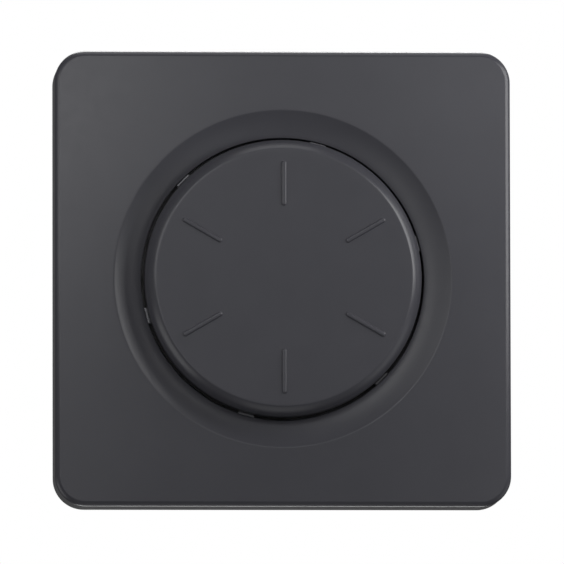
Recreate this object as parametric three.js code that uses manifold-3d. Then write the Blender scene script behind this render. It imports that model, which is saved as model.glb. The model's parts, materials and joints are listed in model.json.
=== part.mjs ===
// Flush-mounted rotary dimmer with a push switch, for a round 60 mm wall box. Millimetres.
//
// The model is built with z pointing out of the wall, x to the right and y up, and the whole group is
// then turned so that +Z is up and the front faces -Y. The origin is the middle of the wall plane.
// In front of the wall: support plate, cover frame, centre plate, retaining ring and knob.
// Behind it: the module with potentiometer, push switch, board and terminals, and two spreading claws.

import * as THREE from 'three';
import { mergeVertices } from 'three/addons/utils/BufferGeometryUtils.js';
import Module from 'manifold-3d';

const wasm = await Module();
wasm.setup();

// ---- clearances ----
const SEAT_GAP = 0.3; // between pieces stacked on each other
const RUN_GAP = 0.08; // radial, round a turning or sliding shaft
const CUT_OVER = 1; // how far a cutting tool reaches past the face it cuts

// ---- support plate ----
const PLATE_SIDE = 71;
const PLATE_CORNER = 4;
const PLATE_THICK = 1.2;
const BOX_SCREW_SPACING = 60;
const SLOT_LENGTH = 10;
const SLOT_WIDTH = 3.8;
const WINDOW_LENGTH = 7;
const WINDOW_WIDTH = 3;
const WINDOW_OFFSET = 29; // of a window's centre from the axis, in x and y

// ---- screws ----
const HEAD_RADIUS = 2.75;
const HEAD_THICK = 1.6;
const DRIVER_SLOT = 0.8;
const DRIVER_DEPTH = 0.7;
const HEAD_CLEARANCE = 0.4; // between a screw head and what passes over it
const MODULE_SCREW_RADIUS = 1.2;
const MODULE_SCREW_LENGTH = 13;
const POST_RADIUS = 2.2;
const MODULE_SCREWS = [[-6, 21], [17, -15]];

// ---- cover frame ----
const FRAME_SIDE = 81;
const FRAME_CORNER = 5.5;
const FRAME_EDGE = 0.8;
const FRAME_WALL = 2;
const DISH_WIDTH = 4.85;
const DISH_DEPTH = 1.6;
const COLLAR_WALL = 1.5;
const LEDGE_WIDTH = 2.5;
const LEDGE_THICK = 0.8;
const RIB_THICK = 1.2;
const RIB_OFFSET = 22; // of a locating rib from the middle of its side
const RIB_CLEARANCE = 0.4; // between a rib and the support plate's edge

// ---- knob ----
const KNOB_RADIUS = 24.6;
const KNOB_GAP = 0.55; // between knob and well
const KNOB_PROUD = 3.5; // rim of the face in front of the frame
const KNOB_WALL = 1.7;
const KNOB_TOP = 1.7;
const SHOULDER_WIDTH = 1.77;
const SHOULDER_HEIGHT = 3;
const SHOULDER_TURN = Math.PI / 3; // how much of the quarter round the shoulder keeps
const FACE_SAG = 0.4;
const SKIRT_OVERLAP = 0.9; // how far the skirt reaches below the dish's inner edge
const SKIRT_CLEARANCE = 0.6; // left under the skirt when the knob is pushed in
const RIDGE_COUNT = 6;
const RIDGE_INNER = 12.7;
const RIDGE_LENGTH = 8;
const RIDGE_WIDTH = 0.9;
const RIDGE_HEIGHT = 0.3;
const HUB_WALL = 1.55;
const HUB_CLEARANCE = 0.5; // left between hub and bush when the knob is pushed in
const CLIP_THICK = 0.6;
const CLIP_HEIGHT = 1.6;
const CLIP_MOUTH = 2.4;
const PUSH_TRAVEL = 1.2;

// ---- shaft, bush and what it clamps ----
const SHAFT_RADIUS = 3;
const SHAFT_FLAT = 1.5; // from the axis to the flat
const BUSH_RADIUS = 4.5;
const BUSH_FLANGE_RADIUS = 7;
const BUSH_FLANGE_THICK = 1;
const BUSH_PROUD = 0.3; // above the nut
const NUT_ACROSS_FLATS = 12;
const NUT_THICK = 1.5;
const WASHER_THICK = 0.4;
const WASHER_RADIUS = 6.4;
const WASHER_TEETH = 12;
const CENTRE_PLATE_THICK = 1;
const PAN_RADIUS = 11;
const PAN_SLOPE = 3;
const PAN_LIFT = 0.6; // of the pan's floor above the support plate

// ---- retaining ring ----
const RING_THICK = 0.3;
const RING_INNER = 20.5;
const RING_INSET = 0.6; // of the flat ring inside the knob's radius
const FINGER_COUNT = 6;
const FINGER_WIDTH = 2.8;
const FINGER_THICK = 0.25;
const FINGER_HEIGHT = 2.3;
const FINGER_ROOM = 0.12; // between a finger and the well
const FINGER_TURN = -15; // degrees from straight up to the first finger

// ---- module ----
const MODULE_WIDTH = 44;
const MODULE_HEIGHT = 50;
const MODULE_RADIUS = 27;
const MODULE_DEPTH = 24;
const MODULE_WALL = 1.7;
const LID_THICK = 1.5;

// ---- claws ----
const CLAW_SCREW_RADIUS = 1.5;
const CLAW_SCREW_LENGTH = 19;
const CLAW_SCREW_X = 24.4;
const CLAW_NUT_WIDTH = 3.8;
const CLAW_NUT_LENGTH = 8;
const CLAW_NUT_THICK = 2.2;
const CLAW_NUT_DEPTH = 14; // of the nut's front face behind the wall plane, claws in
const CLAW_THICK = 1;
const CLAW_WIDTH = 9.6;
const CLAW_LENGTH = 15.5;
const CLAW_PIVOT_DEPTH = 1.4;
const CLAW_TOOTH = 1.3;
const CLAW_TEETH = 3;
const TRUNNION_RADIUS = 0.6;
const EAR_THICK = 1;
const EAR_WIDTH = 2.6;

// ---- potentiometer ----
const POT_RADIUS = 10;
const POT_WALL = 1;
const POT_TOP = 1.2;
const ROTOR_RADIUS = 6.2;
const ROTOR_THICK = 1.7;
const LUG_REACH = 2.2;
const LUG_WIDTH = 30; // degrees
const STOP_CLEARANCE = 1; // degrees, each side
const TURN_RANGE = 290; // degrees
const STOP_ANGLE = -90; // degrees, straight down
const WIPER_THICK = 0.4;
const WIPER_INNER = 4;
const WIPER_OUTER = 5.2;
const WIPER_REACH = 7.8;
const WAFER_THICK = 1;
const WAFER_INNER = 3.8;

// ---- push switch ----
const SWITCH_SIDE = 12;
const SWITCH_WALL = 0.9;
const PLUNGER_RADIUS = 1.8;
const PLUNGER_TIP_RADIUS = 0.7;
const PLUNGER_TIP_LENGTH = 0.5;
const PLUNGER_FLANGE_RADIUS = 3.3;
const PLUNGER_FLANGE_THICK = 0.6;
const SPRING_WIRE = 0.22; // radius
const SPRING_RADIUS = 2.6;
const SPRING_LENGTH = 3.4;
const SPRING_TURNS = 3;
const BLADE_THICK = 0.3;
const BLADE_WIDTH = 3;
const BLADE_PIVOT = -4.2; // y of the blade's fixed end
const BLADE_LENGTH = 7.2;
const CONTACT_RADIUS = 1;
const CONTACT_THICK = 0.3;

// ---- board and what stands on it ----
const BOARD_THICK = 1.6;
const BOARD_DEPTH = 19.5; // of the board's front face behind the wall plane
const BOARD_MARGIN = 0.5;
const BOARD_LOWER_EDGE = -10.4;
const FILM_CAP = { x: -8, y: 14, width: 17, height: 7, depth: 11.2 };
const CHIP = { x: -3, y: 8.2, width: 5, height: 3.8, depth: 1.4 };
const CAN_CAP = { x: -14.5, y: 2, radius: 4, depth: 12 };
const VARISTOR = { x: -14.5, y: -6.2, radius: 4.5, thick: 3 };
const CHOKE = { x: 9, y: 15.4, outer: 5.8, inner: 3.6, thick: 4 };
const WINDING_THICK = 0.9;
const WINDING_MOUTH = 3.4;
const RESISTOR = { radius: 1.5, length: 9, lead: 0.4, pitch: 3.3, x: 8.6 };
const TRIMMER = { x: -14.5, y: 8.3, side: 3.6, depth: 4, rotorRadius: 1.5, rotorThick: 1.3 };

// ---- triac on its heat spreader ----
const SPREADER_THICK = 1.5;
const SPREADER_LOW = -8;
const SPREADER_HIGH = 12;
const SPREADER_DEPTH = 4; // of its front edge behind the wall plane
const TRIAC_Y = 3;
const TRIAC_WIDTH = 10;
const TRIAC_THICK = 4.5;
const TRIAC_BODY = 9.2;
const TRIAC_TAB = 6;
const TRIAC_TAB_THICK = 1.3;
const TRIAC_LEAD = 0.7;
const TRIAC_PITCH = 2.54;
const TRIAC_SCREW_RADIUS = 1.5;
const TRIAC_SCREW_HEAD = 2.6;

// ---- terminals, which lie along the module's lower side ----
const TERMINAL_COUNT = 3;
const TERMINAL_PITCH = 8.2;
const TERMINAL_DEPTH = 14; // of the cage's front face behind the wall plane
const CAGE_WIDTH = 6.4;
const CAGE_DEPTH = 6;
const CAGE_WALL = 1;
const CAGE_WINDOW = 4.3;
const CAGE_SEAT = 6; // from the module's lower wall to the open cage
const TAB_THICK = 0.8;
const TAB_WIDTH = 3.8;
const TAB_LENGTH = 9.5;
const TERMINAL_SCREW_RADIUS = 1.5;
const TERMINAL_HEAD_RADIUS = 2.3;
const TERMINAL_HEAD_THICK = 1.8;
const DRIVER_HOLE_RADIUS = 1.95;
const WIRE_HOLE_RADIUS = 3.0;
const PARTITION_THICK = 0.8;

// ---- how finely round things are cut ----
const FINE = 48;
const MEDIUM = 24;
const SMALL = 12;
const CORNER_STEPS = 3;

// ---- levels along z, from the wall plane outwards ----
const HEAD_SEAT = PLATE_THICK + SEAT_GAP;
const LEDGE_BACK = HEAD_SEAT + HEAD_THICK + HEAD_CLEARANCE;
const LEDGE_FRONT = LEDGE_BACK + LEDGE_THICK;
const CENTRE_PLATE_BACK = LEDGE_FRONT + SEAT_GAP;
const RING_BACK = CENTRE_PLATE_BACK + CENTRE_PLATE_THICK + SEAT_GAP;
const SKIRT_BACK = RING_BACK + RING_THICK + SKIRT_CLEARANCE + PUSH_TRAVEL;
const DISH_FLOOR = SKIRT_BACK + SKIRT_OVERLAP;
const FRAME_FRONT = DISH_FLOOR + DISH_DEPTH;
const KNOB_HEIGHT = FRAME_FRONT + KNOB_PROUD - SKIRT_BACK;
const PAN_BACK = PLATE_THICK + PAN_LIFT;
const WASHER_BACK = PAN_BACK + CENTRE_PLATE_THICK + SEAT_GAP;
const NUT_BACK = WASHER_BACK + WASHER_THICK + SEAT_GAP;
const BUSH_FRONT = NUT_BACK + NUT_THICK + BUSH_PROUD;
const HUB_BACK = BUSH_FRONT + HUB_CLEARANCE + PUSH_TRAVEL;

// ---- levels along z, from the wall plane into the box ----
const LID_BACK = -SEAT_GAP - LID_THICK;
const MODULE_FRONT = LID_BACK - SEAT_GAP;
const MODULE_BACK = MODULE_FRONT - MODULE_DEPTH;
const FLOOR_FRONT = MODULE_BACK + MODULE_WALL;
const FLANGE_BACK = MODULE_FRONT - BUSH_FLANGE_THICK;
const POT_FRONT = FLANGE_BACK - SEAT_GAP;
const ROTOR_FRONT = POT_FRONT - POT_TOP - SEAT_GAP;
const WIPER_FRONT = ROTOR_FRONT - ROTOR_THICK - SEAT_GAP;
const WAFER_FRONT = WIPER_FRONT - WIPER_THICK - SEAT_GAP;
const POT_BACK = WAFER_FRONT - WAFER_THICK;
const SHAFT_BACK = POT_BACK - 2 * SEAT_GAP;
const PLUNGER_FRONT = SHAFT_BACK - SEAT_GAP;
const SPRING_FRONT = PLUNGER_FRONT - PLUNGER_FLANGE_THICK;
const SWITCH_FRONT = SPRING_FRONT - SPRING_LENGTH;
const CAVITY_FRONT = SWITCH_FRONT - SWITCH_WALL;
const BLADE_FRONT = CAVITY_FRONT - 2 * SEAT_GAP;
const BOARD_FRONT = -BOARD_DEPTH;
const PART_SEAT = BOARD_FRONT + SEAT_GAP;
const CAVITY_BACK = PART_SEAT + SWITCH_WALL;

// ---- other derived sizes ----
const WELL_RADIUS = KNOB_RADIUS + KNOB_GAP;
const DISH_RADIUS = WELL_RADIUS + DISH_WIDTH;
const FACE_RADIUS = KNOB_RADIUS - SHOULDER_WIDTH;
const HUB_RADIUS = SHAFT_RADIUS + HUB_WALL;
const HUB_END = KNOB_HEIGHT - FACE_SAG - KNOB_TOP;
const STOP_WIDTH = 360 - TURN_RANGE - LUG_WIDTH - 2 * STOP_CLEARANCE;
const LUG_ANGLE = STOP_ANGLE - (STOP_WIDTH + LUG_WIDTH) / 2 - STOP_CLEARANCE;
const CLAW_X = CLAW_SCREW_X + CLAW_NUT_WIDTH / 2 + SEAT_GAP + CLAW_THICK / 2;
const TERMINAL_WALL = -(MODULE_HEIGHT / 2 - MODULE_WALL);

// ---- materials ----
function finish(color, roughness, metalness) {
  return new THREE.MeshStandardMaterial({ color, roughness, metalness });
}
const anthracitePlastic = () => finish(0x4b4b4d, 0.55, 0);
const blackPlastic = () => finish(0x1c1c1e, 0.5, 0);
const greyPlastic = () => finish(0xa9acad, 0.5, 0);
const whitePlastic = () => finish(0xe6e4dc, 0.45, 0);
const zincSteel = () => finish(0xb9bcbe, 0.35, 1);
const springSteel = () => finish(0xc9ccd0, 0.25, 1);
const aluminium = () => finish(0xd2d4d6, 0.4, 1);
const brass = () => finish(0xc9a24a, 0.35, 1);
const copper = () => finish(0xb4622d, 0.35, 1);
const ferrite = () => finish(0x3b3a38, 0.7, 0);
const boardLaminate = () => finish(0xb08b45, 0.6, 0);
const carbonLaminate = () => finish(0x6a4a2c, 0.6, 0);
const redEpoxy = () => finish(0xa5371f, 0.4, 0);
const blueEpoxy = () => finish(0x2f5f9c, 0.4, 0);
const resistorLacquer = () => finish(0xc7b58a, 0.5, 0);
const capSleeve = () => finish(0x22304f, 0.4, 0);

// ---- solids: closed geometries turned into manifolds, and back ----
function signedVolume(points, corners) {
  const [a, b, c] = [new THREE.Vector3(), new THREE.Vector3(), new THREE.Vector3()];
  let volume = 0;
  for (let i = 0; i < corners.length; i += 3) {
    a.fromArray(points, 3 * corners[i]);
    b.fromArray(points, 3 * corners[i + 1]);
    c.fromArray(points, 3 * corners[i + 2]);
    volume += a.dot(b.cross(c));
  }
  return volume;
}

function solidOf(geometry) {
  geometry.deleteAttribute('normal');
  geometry.deleteAttribute('uv');
  const merged = mergeVertices(geometry, 1e-4);
  const points = merged.attributes.position.array;
  const corners = [];
  const all = merged.index.array;
  for (let i = 0; i < all.length; i += 3) {
    const [a, b, c] = [all[i], all[i + 1], all[i + 2]];
    if (a !== b && b !== c && c !== a) {
      corners.push(a, b, c);
    }
  }
  if (signedVolume(points, corners) < 0) {
    corners.reverse();
  }
  return new wasm.Manifold(new wasm.Mesh({
    numProp: 3,
    vertProperties: new Float32Array(points),
    triVerts: new Uint32Array(corners),
  }));
}

function geometryOf(solid) {
  const mesh = solid.getMesh();
  const geometry = new THREE.BufferGeometry();
  geometry.setAttribute('position', new THREE.BufferAttribute(mesh.vertProperties, 3));
  geometry.setIndex(new THREE.BufferAttribute(mesh.triVerts, 1));
  geometry.computeVertexNormals();
  return geometry;
}

// ---- shapes that several pieces share ----
const radians = THREE.MathUtils.degToRad;

// A round hole's corners lie outside its radius, so that its flats clear a shaft of that radius.
function holeRadius(radius, segments) {
  return radius / Math.cos(Math.PI / segments);
}

function turnedGeometry(profile, segments) {
  const points = profile.map(([radius, height]) => new THREE.Vector2(radius, height));
  return new THREE.LatheGeometry(points, segments).rotateX(Math.PI / 2);
}

function turned(profile, segments) {
  return solidOf(turnedGeometry(profile, segments));
}

function rodGeometry(radius, low, high, segments) {
  return turnedGeometry([[0, low], [radius, low], [radius, high], [0, high]], segments);
}

function rod(radius, low, high, segments, x = 0, y = 0) {
  return solidOf(rodGeometry(radius, low, high, segments).translate(x, y, 0));
}

function ring(inner, outer, low, high, segments) {
  return turned([[inner, low], [outer, low], [outer, high], [inner, high], [inner, low]], segments);
}

function rodAlongY(radius, low, high, segments, x = 0, z = 0) {
  return solidOf(rodGeometry(radius, low, high, segments).rotateX(-Math.PI / 2).translate(x, 0, z));
}

function rodAlongX(radius, low, high, segments, y = 0, z = 0) {
  return solidOf(rodGeometry(radius, low, high, segments).rotateY(Math.PI / 2).translate(0, y, z));
}

function prismGeometry(shape, low, high, steps = CORNER_STEPS) {
  const options = { depth: high - low, bevelEnabled: false, curveSegments: steps };
  return new THREE.ExtrudeGeometry(shape, options).translate(0, 0, low);
}

function prism(shape, low, high, steps = CORNER_STEPS) {
  return solidOf(prismGeometry(shape, low, high, steps));
}

function block(x0, x1, y0, y1, z0, z1) {
  const geometry = new THREE.BoxGeometry(x1 - x0, y1 - y0, z1 - z0);
  return solidOf(geometry.translate((x0 + x1) / 2, (y0 + y1) / 2, (z0 + z1) / 2));
}

function roundedRectangle(width, height, corner) {
  const [x, y] = [width / 2 - corner, height / 2 - corner];
  const shape = new THREE.Shape();
  shape.absarc(x, y, corner, 0, Math.PI / 2, false);
  shape.absarc(-x, y, corner, Math.PI / 2, Math.PI, false);
  shape.absarc(-x, -y, corner, Math.PI, 1.5 * Math.PI, false);
  shape.absarc(x, -y, corner, 1.5 * Math.PI, 2 * Math.PI, false);
  shape.closePath();
  return shape;
}

// A circle with its four sides cut flat: the outline of a module for a round box.
function barrelOutline(inset) {
  const radius = MODULE_RADIUS - inset;
  const low = Math.acos((MODULE_WIDTH / 2 - inset) / radius);
  const high = Math.asin((MODULE_HEIGHT / 2 - inset) / radius);
  const shape = new THREE.Shape();
  shape.absarc(0, 0, radius, low, high, false);
  shape.absarc(0, 0, radius, Math.PI - high, Math.PI - low, false);
  shape.absarc(0, 0, radius, Math.PI + low, Math.PI + high, false);
  shape.absarc(0, 0, radius, 2 * Math.PI - high, 2 * Math.PI - low, false);
  shape.closePath();
  return shape;
}

function sector(inner, outer, middle, width) {
  const [from, to] = [radians(middle - width / 2), radians(middle + width / 2)];
  const shape = new THREE.Shape();
  shape.absarc(0, 0, outer, from, to, false);
  shape.absarc(0, 0, inner, to, from, true);
  shape.closePath();
  return shape;
}

// The shaft's section, round with one flat; a hole for it takes a clearance.
function shaftSection(clearance) {
  const radius = SHAFT_RADIUS + clearance;
  const turn = Math.acos((SHAFT_FLAT + clearance) / radius);
  const shape = new THREE.Shape();
  shape.absarc(0, 0, radius, turn, 2 * Math.PI - turn, false);
  shape.closePath();
  return shape;
}

function withCuts(solid, cuts) {
  return cuts.reduce((left, cut) => left.subtract(cut), solid);
}

function withJoins(solid, joins) {
  return joins.reduce((whole, piece) => whole.add(piece), solid);
}

function screw(shankRadius, length, headRadius, headThick) {
  const body = turned([
    [0, -length], [shankRadius, -length], [shankRadius, 0],
    [headRadius, 0], [headRadius, 0.7 * headThick], [0.75 * headRadius, headThick], [0, headThick],
  ], SMALL);
  const half = DRIVER_SLOT / 2;
  const reach = headRadius + CUT_OVER;
  return body.subtract(block(-reach, reach, -half, half, headThick - DRIVER_DEPTH, headThick + CUT_OVER));
}

// ---- cover frame ----
// The dish is a circular arc, level at the well and steepest at its outer edge.
function dishProfile() {
  const arc = (DISH_WIDTH ** 2 + DISH_DEPTH ** 2) / (2 * DISH_DEPTH);
  const steps = 5;
  const profile = [];
  for (let i = 0; i <= steps; i += 1) {
    const across = (DISH_WIDTH * i) / steps;
    profile.push([WELL_RADIUS + across, DISH_FLOOR + arc - Math.sqrt(arc ** 2 - across ** 2)]);
  }
  return profile;
}

function frameBlank() {
  const options = {
    depth: FRAME_FRONT - FRAME_EDGE,
    bevelThickness: FRAME_EDGE,
    bevelSize: FRAME_EDGE,
    bevelOffset: -FRAME_EDGE,
    bevelSegments: 2,
    curveSegments: 4,
  };
  const outline = roundedRectangle(FRAME_SIDE, FRAME_SIDE, FRAME_CORNER);
  const cushion = solidOf(new THREE.ExtrudeGeometry(outline, options));
  return cushion.subtract(block(-FRAME_SIDE, FRAME_SIDE, -FRAME_SIDE, FRAME_SIDE, -2 * FRAME_EDGE, 0));
}

function locatingRibs() {
  const [inner, outer] = [PLATE_SIDE / 2 + RIB_CLEARANCE, FRAME_SIDE / 2 - FRAME_WALL / 2];
  const ribs = [];
  for (let side = 0; side < 4; side += 1) {
    for (const offset of [-RIB_OFFSET, RIB_OFFSET]) {
      const geometry = new THREE.BoxGeometry(outer - inner, RIB_THICK, FRAME_FRONT - FRAME_WALL);
      geometry.translate((inner + outer) / 2, offset, (FRAME_FRONT - FRAME_WALL) / 2 + SEAT_GAP);
      ribs.push(solidOf(geometry.rotateZ((side * Math.PI) / 2)));
    }
  }
  return ribs;
}

function coverFrame() {
  const inside = FRAME_SIDE - 2 * FRAME_WALL;
  const back = FRAME_FRONT - FRAME_WALL;
  const pocket = prism(roundedRectangle(inside, inside, FRAME_CORNER - FRAME_WALL), -CUT_OVER, back);
  const collarRadius = WELL_RADIUS + COLLAR_WALL;
  const collar = turned([
    [0, LEDGE_BACK], [collarRadius, LEDGE_BACK], [collarRadius, DISH_FLOOR - FRAME_WALL],
    [DISH_RADIUS + COLLAR_WALL, back], [DISH_RADIUS + COLLAR_WALL, DISH_FLOOR + DISH_DEPTH / 2],
    [0, DISH_FLOOR + DISH_DEPTH / 2],
  ], FINE);
  const ledgeRadius = WELL_RADIUS - LEDGE_WIDTH;
  const well = turned([
    [0, LEDGE_BACK - CUT_OVER], [ledgeRadius, LEDGE_BACK - CUT_OVER], [ledgeRadius, LEDGE_FRONT],
    [WELL_RADIUS, LEDGE_FRONT], ...dishProfile(), [DISH_RADIUS, FRAME_FRONT + CUT_OVER],
    [0, FRAME_FRONT + CUT_OVER],
  ], FINE);
  return withJoins(frameBlank().subtract(pocket), [collar, ...locatingRibs()]).subtract(well);
}

// ---- knob ----
// The face is a shallow bowl, lifted for the ridges that stand on it.
function faceProfile(lift) {
  const steps = 4;
  const profile = [];
  for (let i = steps; i >= 0; i -= 1) {
    const across = i / steps;
    profile.push([FACE_RADIUS * across, KNOB_HEIGHT - FACE_SAG * (1 - across ** 2) + lift]);
  }
  return profile;
}

// The shoulder is the first part of an elliptical quarter round, so it meets the face in a crisp edge.
function shoulderProfile() {
  const [across, along] = [
    SHOULDER_WIDTH / (1 - Math.cos(SHOULDER_TURN)),
    SHOULDER_HEIGHT / Math.sin(SHOULDER_TURN),
  ];
  const steps = 6;
  const profile = [];
  for (let i = 0; i < steps; i += 1) {
    const turn = (SHOULDER_TURN * i) / steps;
    const radius = KNOB_RADIUS - across * (1 - Math.cos(turn));
    profile.push([radius, KNOB_HEIGHT - SHOULDER_HEIGHT + along * Math.sin(turn)]);
  }
  return profile;
}

function ridge(index) {
  const half = RIDGE_WIDTH / 2;
  const shape = new THREE.Shape();
  shape.absarc(0, RIDGE_INNER + RIDGE_LENGTH - half, half, 0, Math.PI, false);
  shape.absarc(0, RIDGE_INNER + half, half, Math.PI, 2 * Math.PI, false);
  shape.closePath();
  const bar = prismGeometry(shape, KNOB_HEIGHT - KNOB_TOP, KNOB_HEIGHT + CUT_OVER);
  return solidOf(bar.rotateZ((index * 2 * Math.PI) / RIDGE_COUNT));
}

function knobCap() {
  const outside = turned([[0, 0], [KNOB_RADIUS, 0], ...shoulderProfile(), ...faceProfile(0)], FINE);
  const bore = KNOB_RADIUS - KNOB_WALL;
  const round = SHOULDER_WIDTH;
  const hollow = turned([
    [0, -CUT_OVER], [bore, -CUT_OVER], [bore, HUB_END - round], [bore - round, HUB_END], [0, HUB_END],
  ], FINE);
  const hub = rod(HUB_RADIUS, HUB_BACK - SKIRT_BACK, HUB_END + KNOB_TOP / 2, MEDIUM);
  const socket = prism(shaftSection(RUN_GAP), HUB_BACK - SKIRT_BACK - CUT_OVER, HUB_END, SMALL / 2);
  const raised = turned([[0, 0], [FACE_RADIUS, 0], ...faceProfile(RIDGE_HEIGHT)], FINE);
  const ridges = Array.from({ length: RIDGE_COUNT }, (_, i) => ridge(i).intersect(raised));
  return withJoins(outside.subtract(hollow), [hub, ...ridges]).subtract(socket);
}

function hubClip() {
  const inner = HUB_RADIUS + SEAT_GAP;
  const band = ring(inner, inner + CLIP_THICK, 0, CLIP_HEIGHT, MEDIUM);
  const half = CLIP_MOUTH / 2;
  const reach = inner + CLIP_THICK + CUT_OVER;
  return band.subtract(block(-half, half, 0, reach, -CUT_OVER, CLIP_HEIGHT + CUT_OVER));
}

// The shaft is round in the bush and has its flat in the knob's hub and in the rotor.
function controlShaft() {
  const front = SKIRT_BACK + HUB_END - SEAT_GAP;
  const upperFlat = HUB_BACK - SEAT_GAP;
  const lowerFlat = ROTOR_FRONT + PUSH_TRAVEL + SEAT_GAP;
  const round = rod(SHAFT_RADIUS, lowerFlat, upperFlat, MEDIUM);
  return withJoins(round, [
    prism(shaftSection(0), upperFlat - SEAT_GAP, front, SMALL / 2),
    prism(shaftSection(0), SHAFT_BACK, lowerFlat + SEAT_GAP, SMALL / 2),
  ]);
}

// ---- centre plate and what clamps it ----
function centrePlate() {
  const bore = BUSH_RADIUS + SEAT_GAP;
  const edge = WELL_RADIUS - SEAT_GAP;
  const flatFrom = PAN_RADIUS + PAN_SLOPE;
  const lift = CENTRE_PLATE_BACK - PAN_BACK;
  return turned([
    [bore, 0], [PAN_RADIUS, 0], [flatFrom, lift], [edge, lift], [edge, lift + CENTRE_PLATE_THICK],
    [flatFrom - CENTRE_PLATE_THICK / 2, lift + CENTRE_PLATE_THICK],
    [PAN_RADIUS - CENTRE_PLATE_THICK / 2, CENTRE_PLATE_THICK], [bore, CENTRE_PLATE_THICK], [bore, 0],
  ], MEDIUM);
}

function lockWasher() {
  const disc = ring(BUSH_RADIUS + SEAT_GAP, WASHER_RADIUS, 0, WASHER_THICK, MEDIUM);
  const notches = Array.from({ length: WASHER_TEETH }, (_, i) => {
    const geometry = new THREE.BoxGeometry(WASHER_THICK, CUT_OVER, 2 * CUT_OVER);
    return solidOf(geometry.translate(0, WASHER_RADIUS, 0).rotateZ((i * 2 * Math.PI) / WASHER_TEETH));
  });
  return withCuts(disc, notches);
}

function bushNut() {
  const corner = NUT_ACROSS_FLATS / Math.sqrt(3);
  const bore = holeRadius(BUSH_RADIUS + RUN_GAP, MEDIUM);
  return rod(corner, 0, NUT_THICK, 6).subtract(rod(bore, -CUT_OVER, NUT_THICK + CUT_OVER, MEDIUM));
}

function retainingRing() {
  const outer = WELL_RADIUS - FINGER_ROOM;
  const flat = ring(RING_INNER, KNOB_RADIUS - RING_INSET, 0, RING_THICK, MEDIUM);
  const half = FINGER_WIDTH / 2;
  const fingers = [];
  for (let i = 0; i < FINGER_COUNT; i += 1) {
    const angle = radians(FINGER_TURN + (360 * i) / FINGER_COUNT);
    const foot = KNOB_RADIUS - 2 * RING_INSET;
    const tab = new THREE.BoxGeometry(2 * half, outer - foot, RING_THICK);
    tab.translate(0, (outer + foot) / 2, RING_THICK / 2).rotateZ(angle);
    const finger = new THREE.BoxGeometry(2 * half, FINGER_THICK, FINGER_HEIGHT);
    finger.translate(0, outer - FINGER_THICK / 2, FINGER_HEIGHT / 2).rotateZ(angle);
    fingers.push(solidOf(tab), solidOf(finger));
  }
  return withJoins(flat, fingers);
}

// ---- support plate ----
function slotCut(x, y, turn) {
  const half = SLOT_WIDTH / 2;
  const run = SLOT_LENGTH / 2 - half;
  const shape = new THREE.Shape();
  shape.absarc(run, 0, half, -Math.PI / 2, Math.PI / 2, false);
  shape.absarc(-run, 0, half, Math.PI / 2, 1.5 * Math.PI, false);
  shape.closePath();
  const slot = prismGeometry(shape, -CUT_OVER, PLATE_THICK + CUT_OVER);
  return solidOf(slot.rotateZ(turn).translate(x, y, 0));
}

function windowCut(x, y) {
  const [w, h] = [WINDOW_LENGTH / 2, WINDOW_WIDTH / 2];
  return block(x - w, x + w, y - h, y + h, -CUT_OVER, PLATE_THICK + CUT_OVER);
}

// Holes that the support plate and the module's lid share: bush, trimmer access and module screws.
function sharedHoles(thick) {
  const hole = (radius, x, y) => rod(radius, -CUT_OVER, thick + CUT_OVER, SMALL, x, y);
  return [
    hole(BUSH_RADIUS + SEAT_GAP, 0, 0),
    hole(TRIMMER.rotorRadius, TRIMMER.x, TRIMMER.y),
    ...MODULE_SCREWS.map(([x, y]) => hole(MODULE_SCREW_RADIUS + 2 * RUN_GAP, x, y)),
  ];
}

// Two ears beside each claw, bent back from the plate, hold the claw's trunnions.
function clawEar(side, level) {
  const from = CLAW_WIDTH / 2 + SEAT_GAP;
  const [y0, y1] = level > 0 ? [from, from + EAR_THICK] : [-from - EAR_THICK, -from];
  const x = side * CLAW_X;
  const back = -CLAW_PIVOT_DEPTH - EAR_WIDTH / 2;
  const ear = block(x - EAR_WIDTH / 2, x + EAR_WIDTH / 2, y0, y1, back, PLATE_THICK / 2);
  const bore = holeRadius(TRUNNION_RADIUS + RUN_GAP, SMALL);
  return ear.subtract(rodAlongY(bore, y0 - CUT_OVER, y1 + CUT_OVER, SMALL, x, -CLAW_PIVOT_DEPTH));
}

function supportPlate() {
  const spacing = BOX_SCREW_SPACING / 2;
  const cuts = sharedHoles(PLATE_THICK);
  for (const side of [-1, 1]) {
    cuts.push(slotCut(side * spacing, 0, Math.PI / 2), slotCut(0, side * spacing, 0));
    const bore = CLAW_SCREW_RADIUS + 2 * RUN_GAP;
    cuts.push(rod(bore, -CUT_OVER, PLATE_THICK + CUT_OVER, SMALL, side * CLAW_SCREW_X, 0));
    cuts.push(windowCut(side * WINDOW_OFFSET, -WINDOW_OFFSET), windowCut(side * WINDOW_OFFSET, WINDOW_OFFSET));
  }
  const plate = prism(roundedRectangle(PLATE_SIDE, PLATE_SIDE, PLATE_CORNER), 0, PLATE_THICK);
  const ears = [-1, 1].flatMap((side) => [clawEar(side, -1), clawEar(side, 1)]);
  return withCuts(withJoins(plate, ears), cuts);
}

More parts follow.
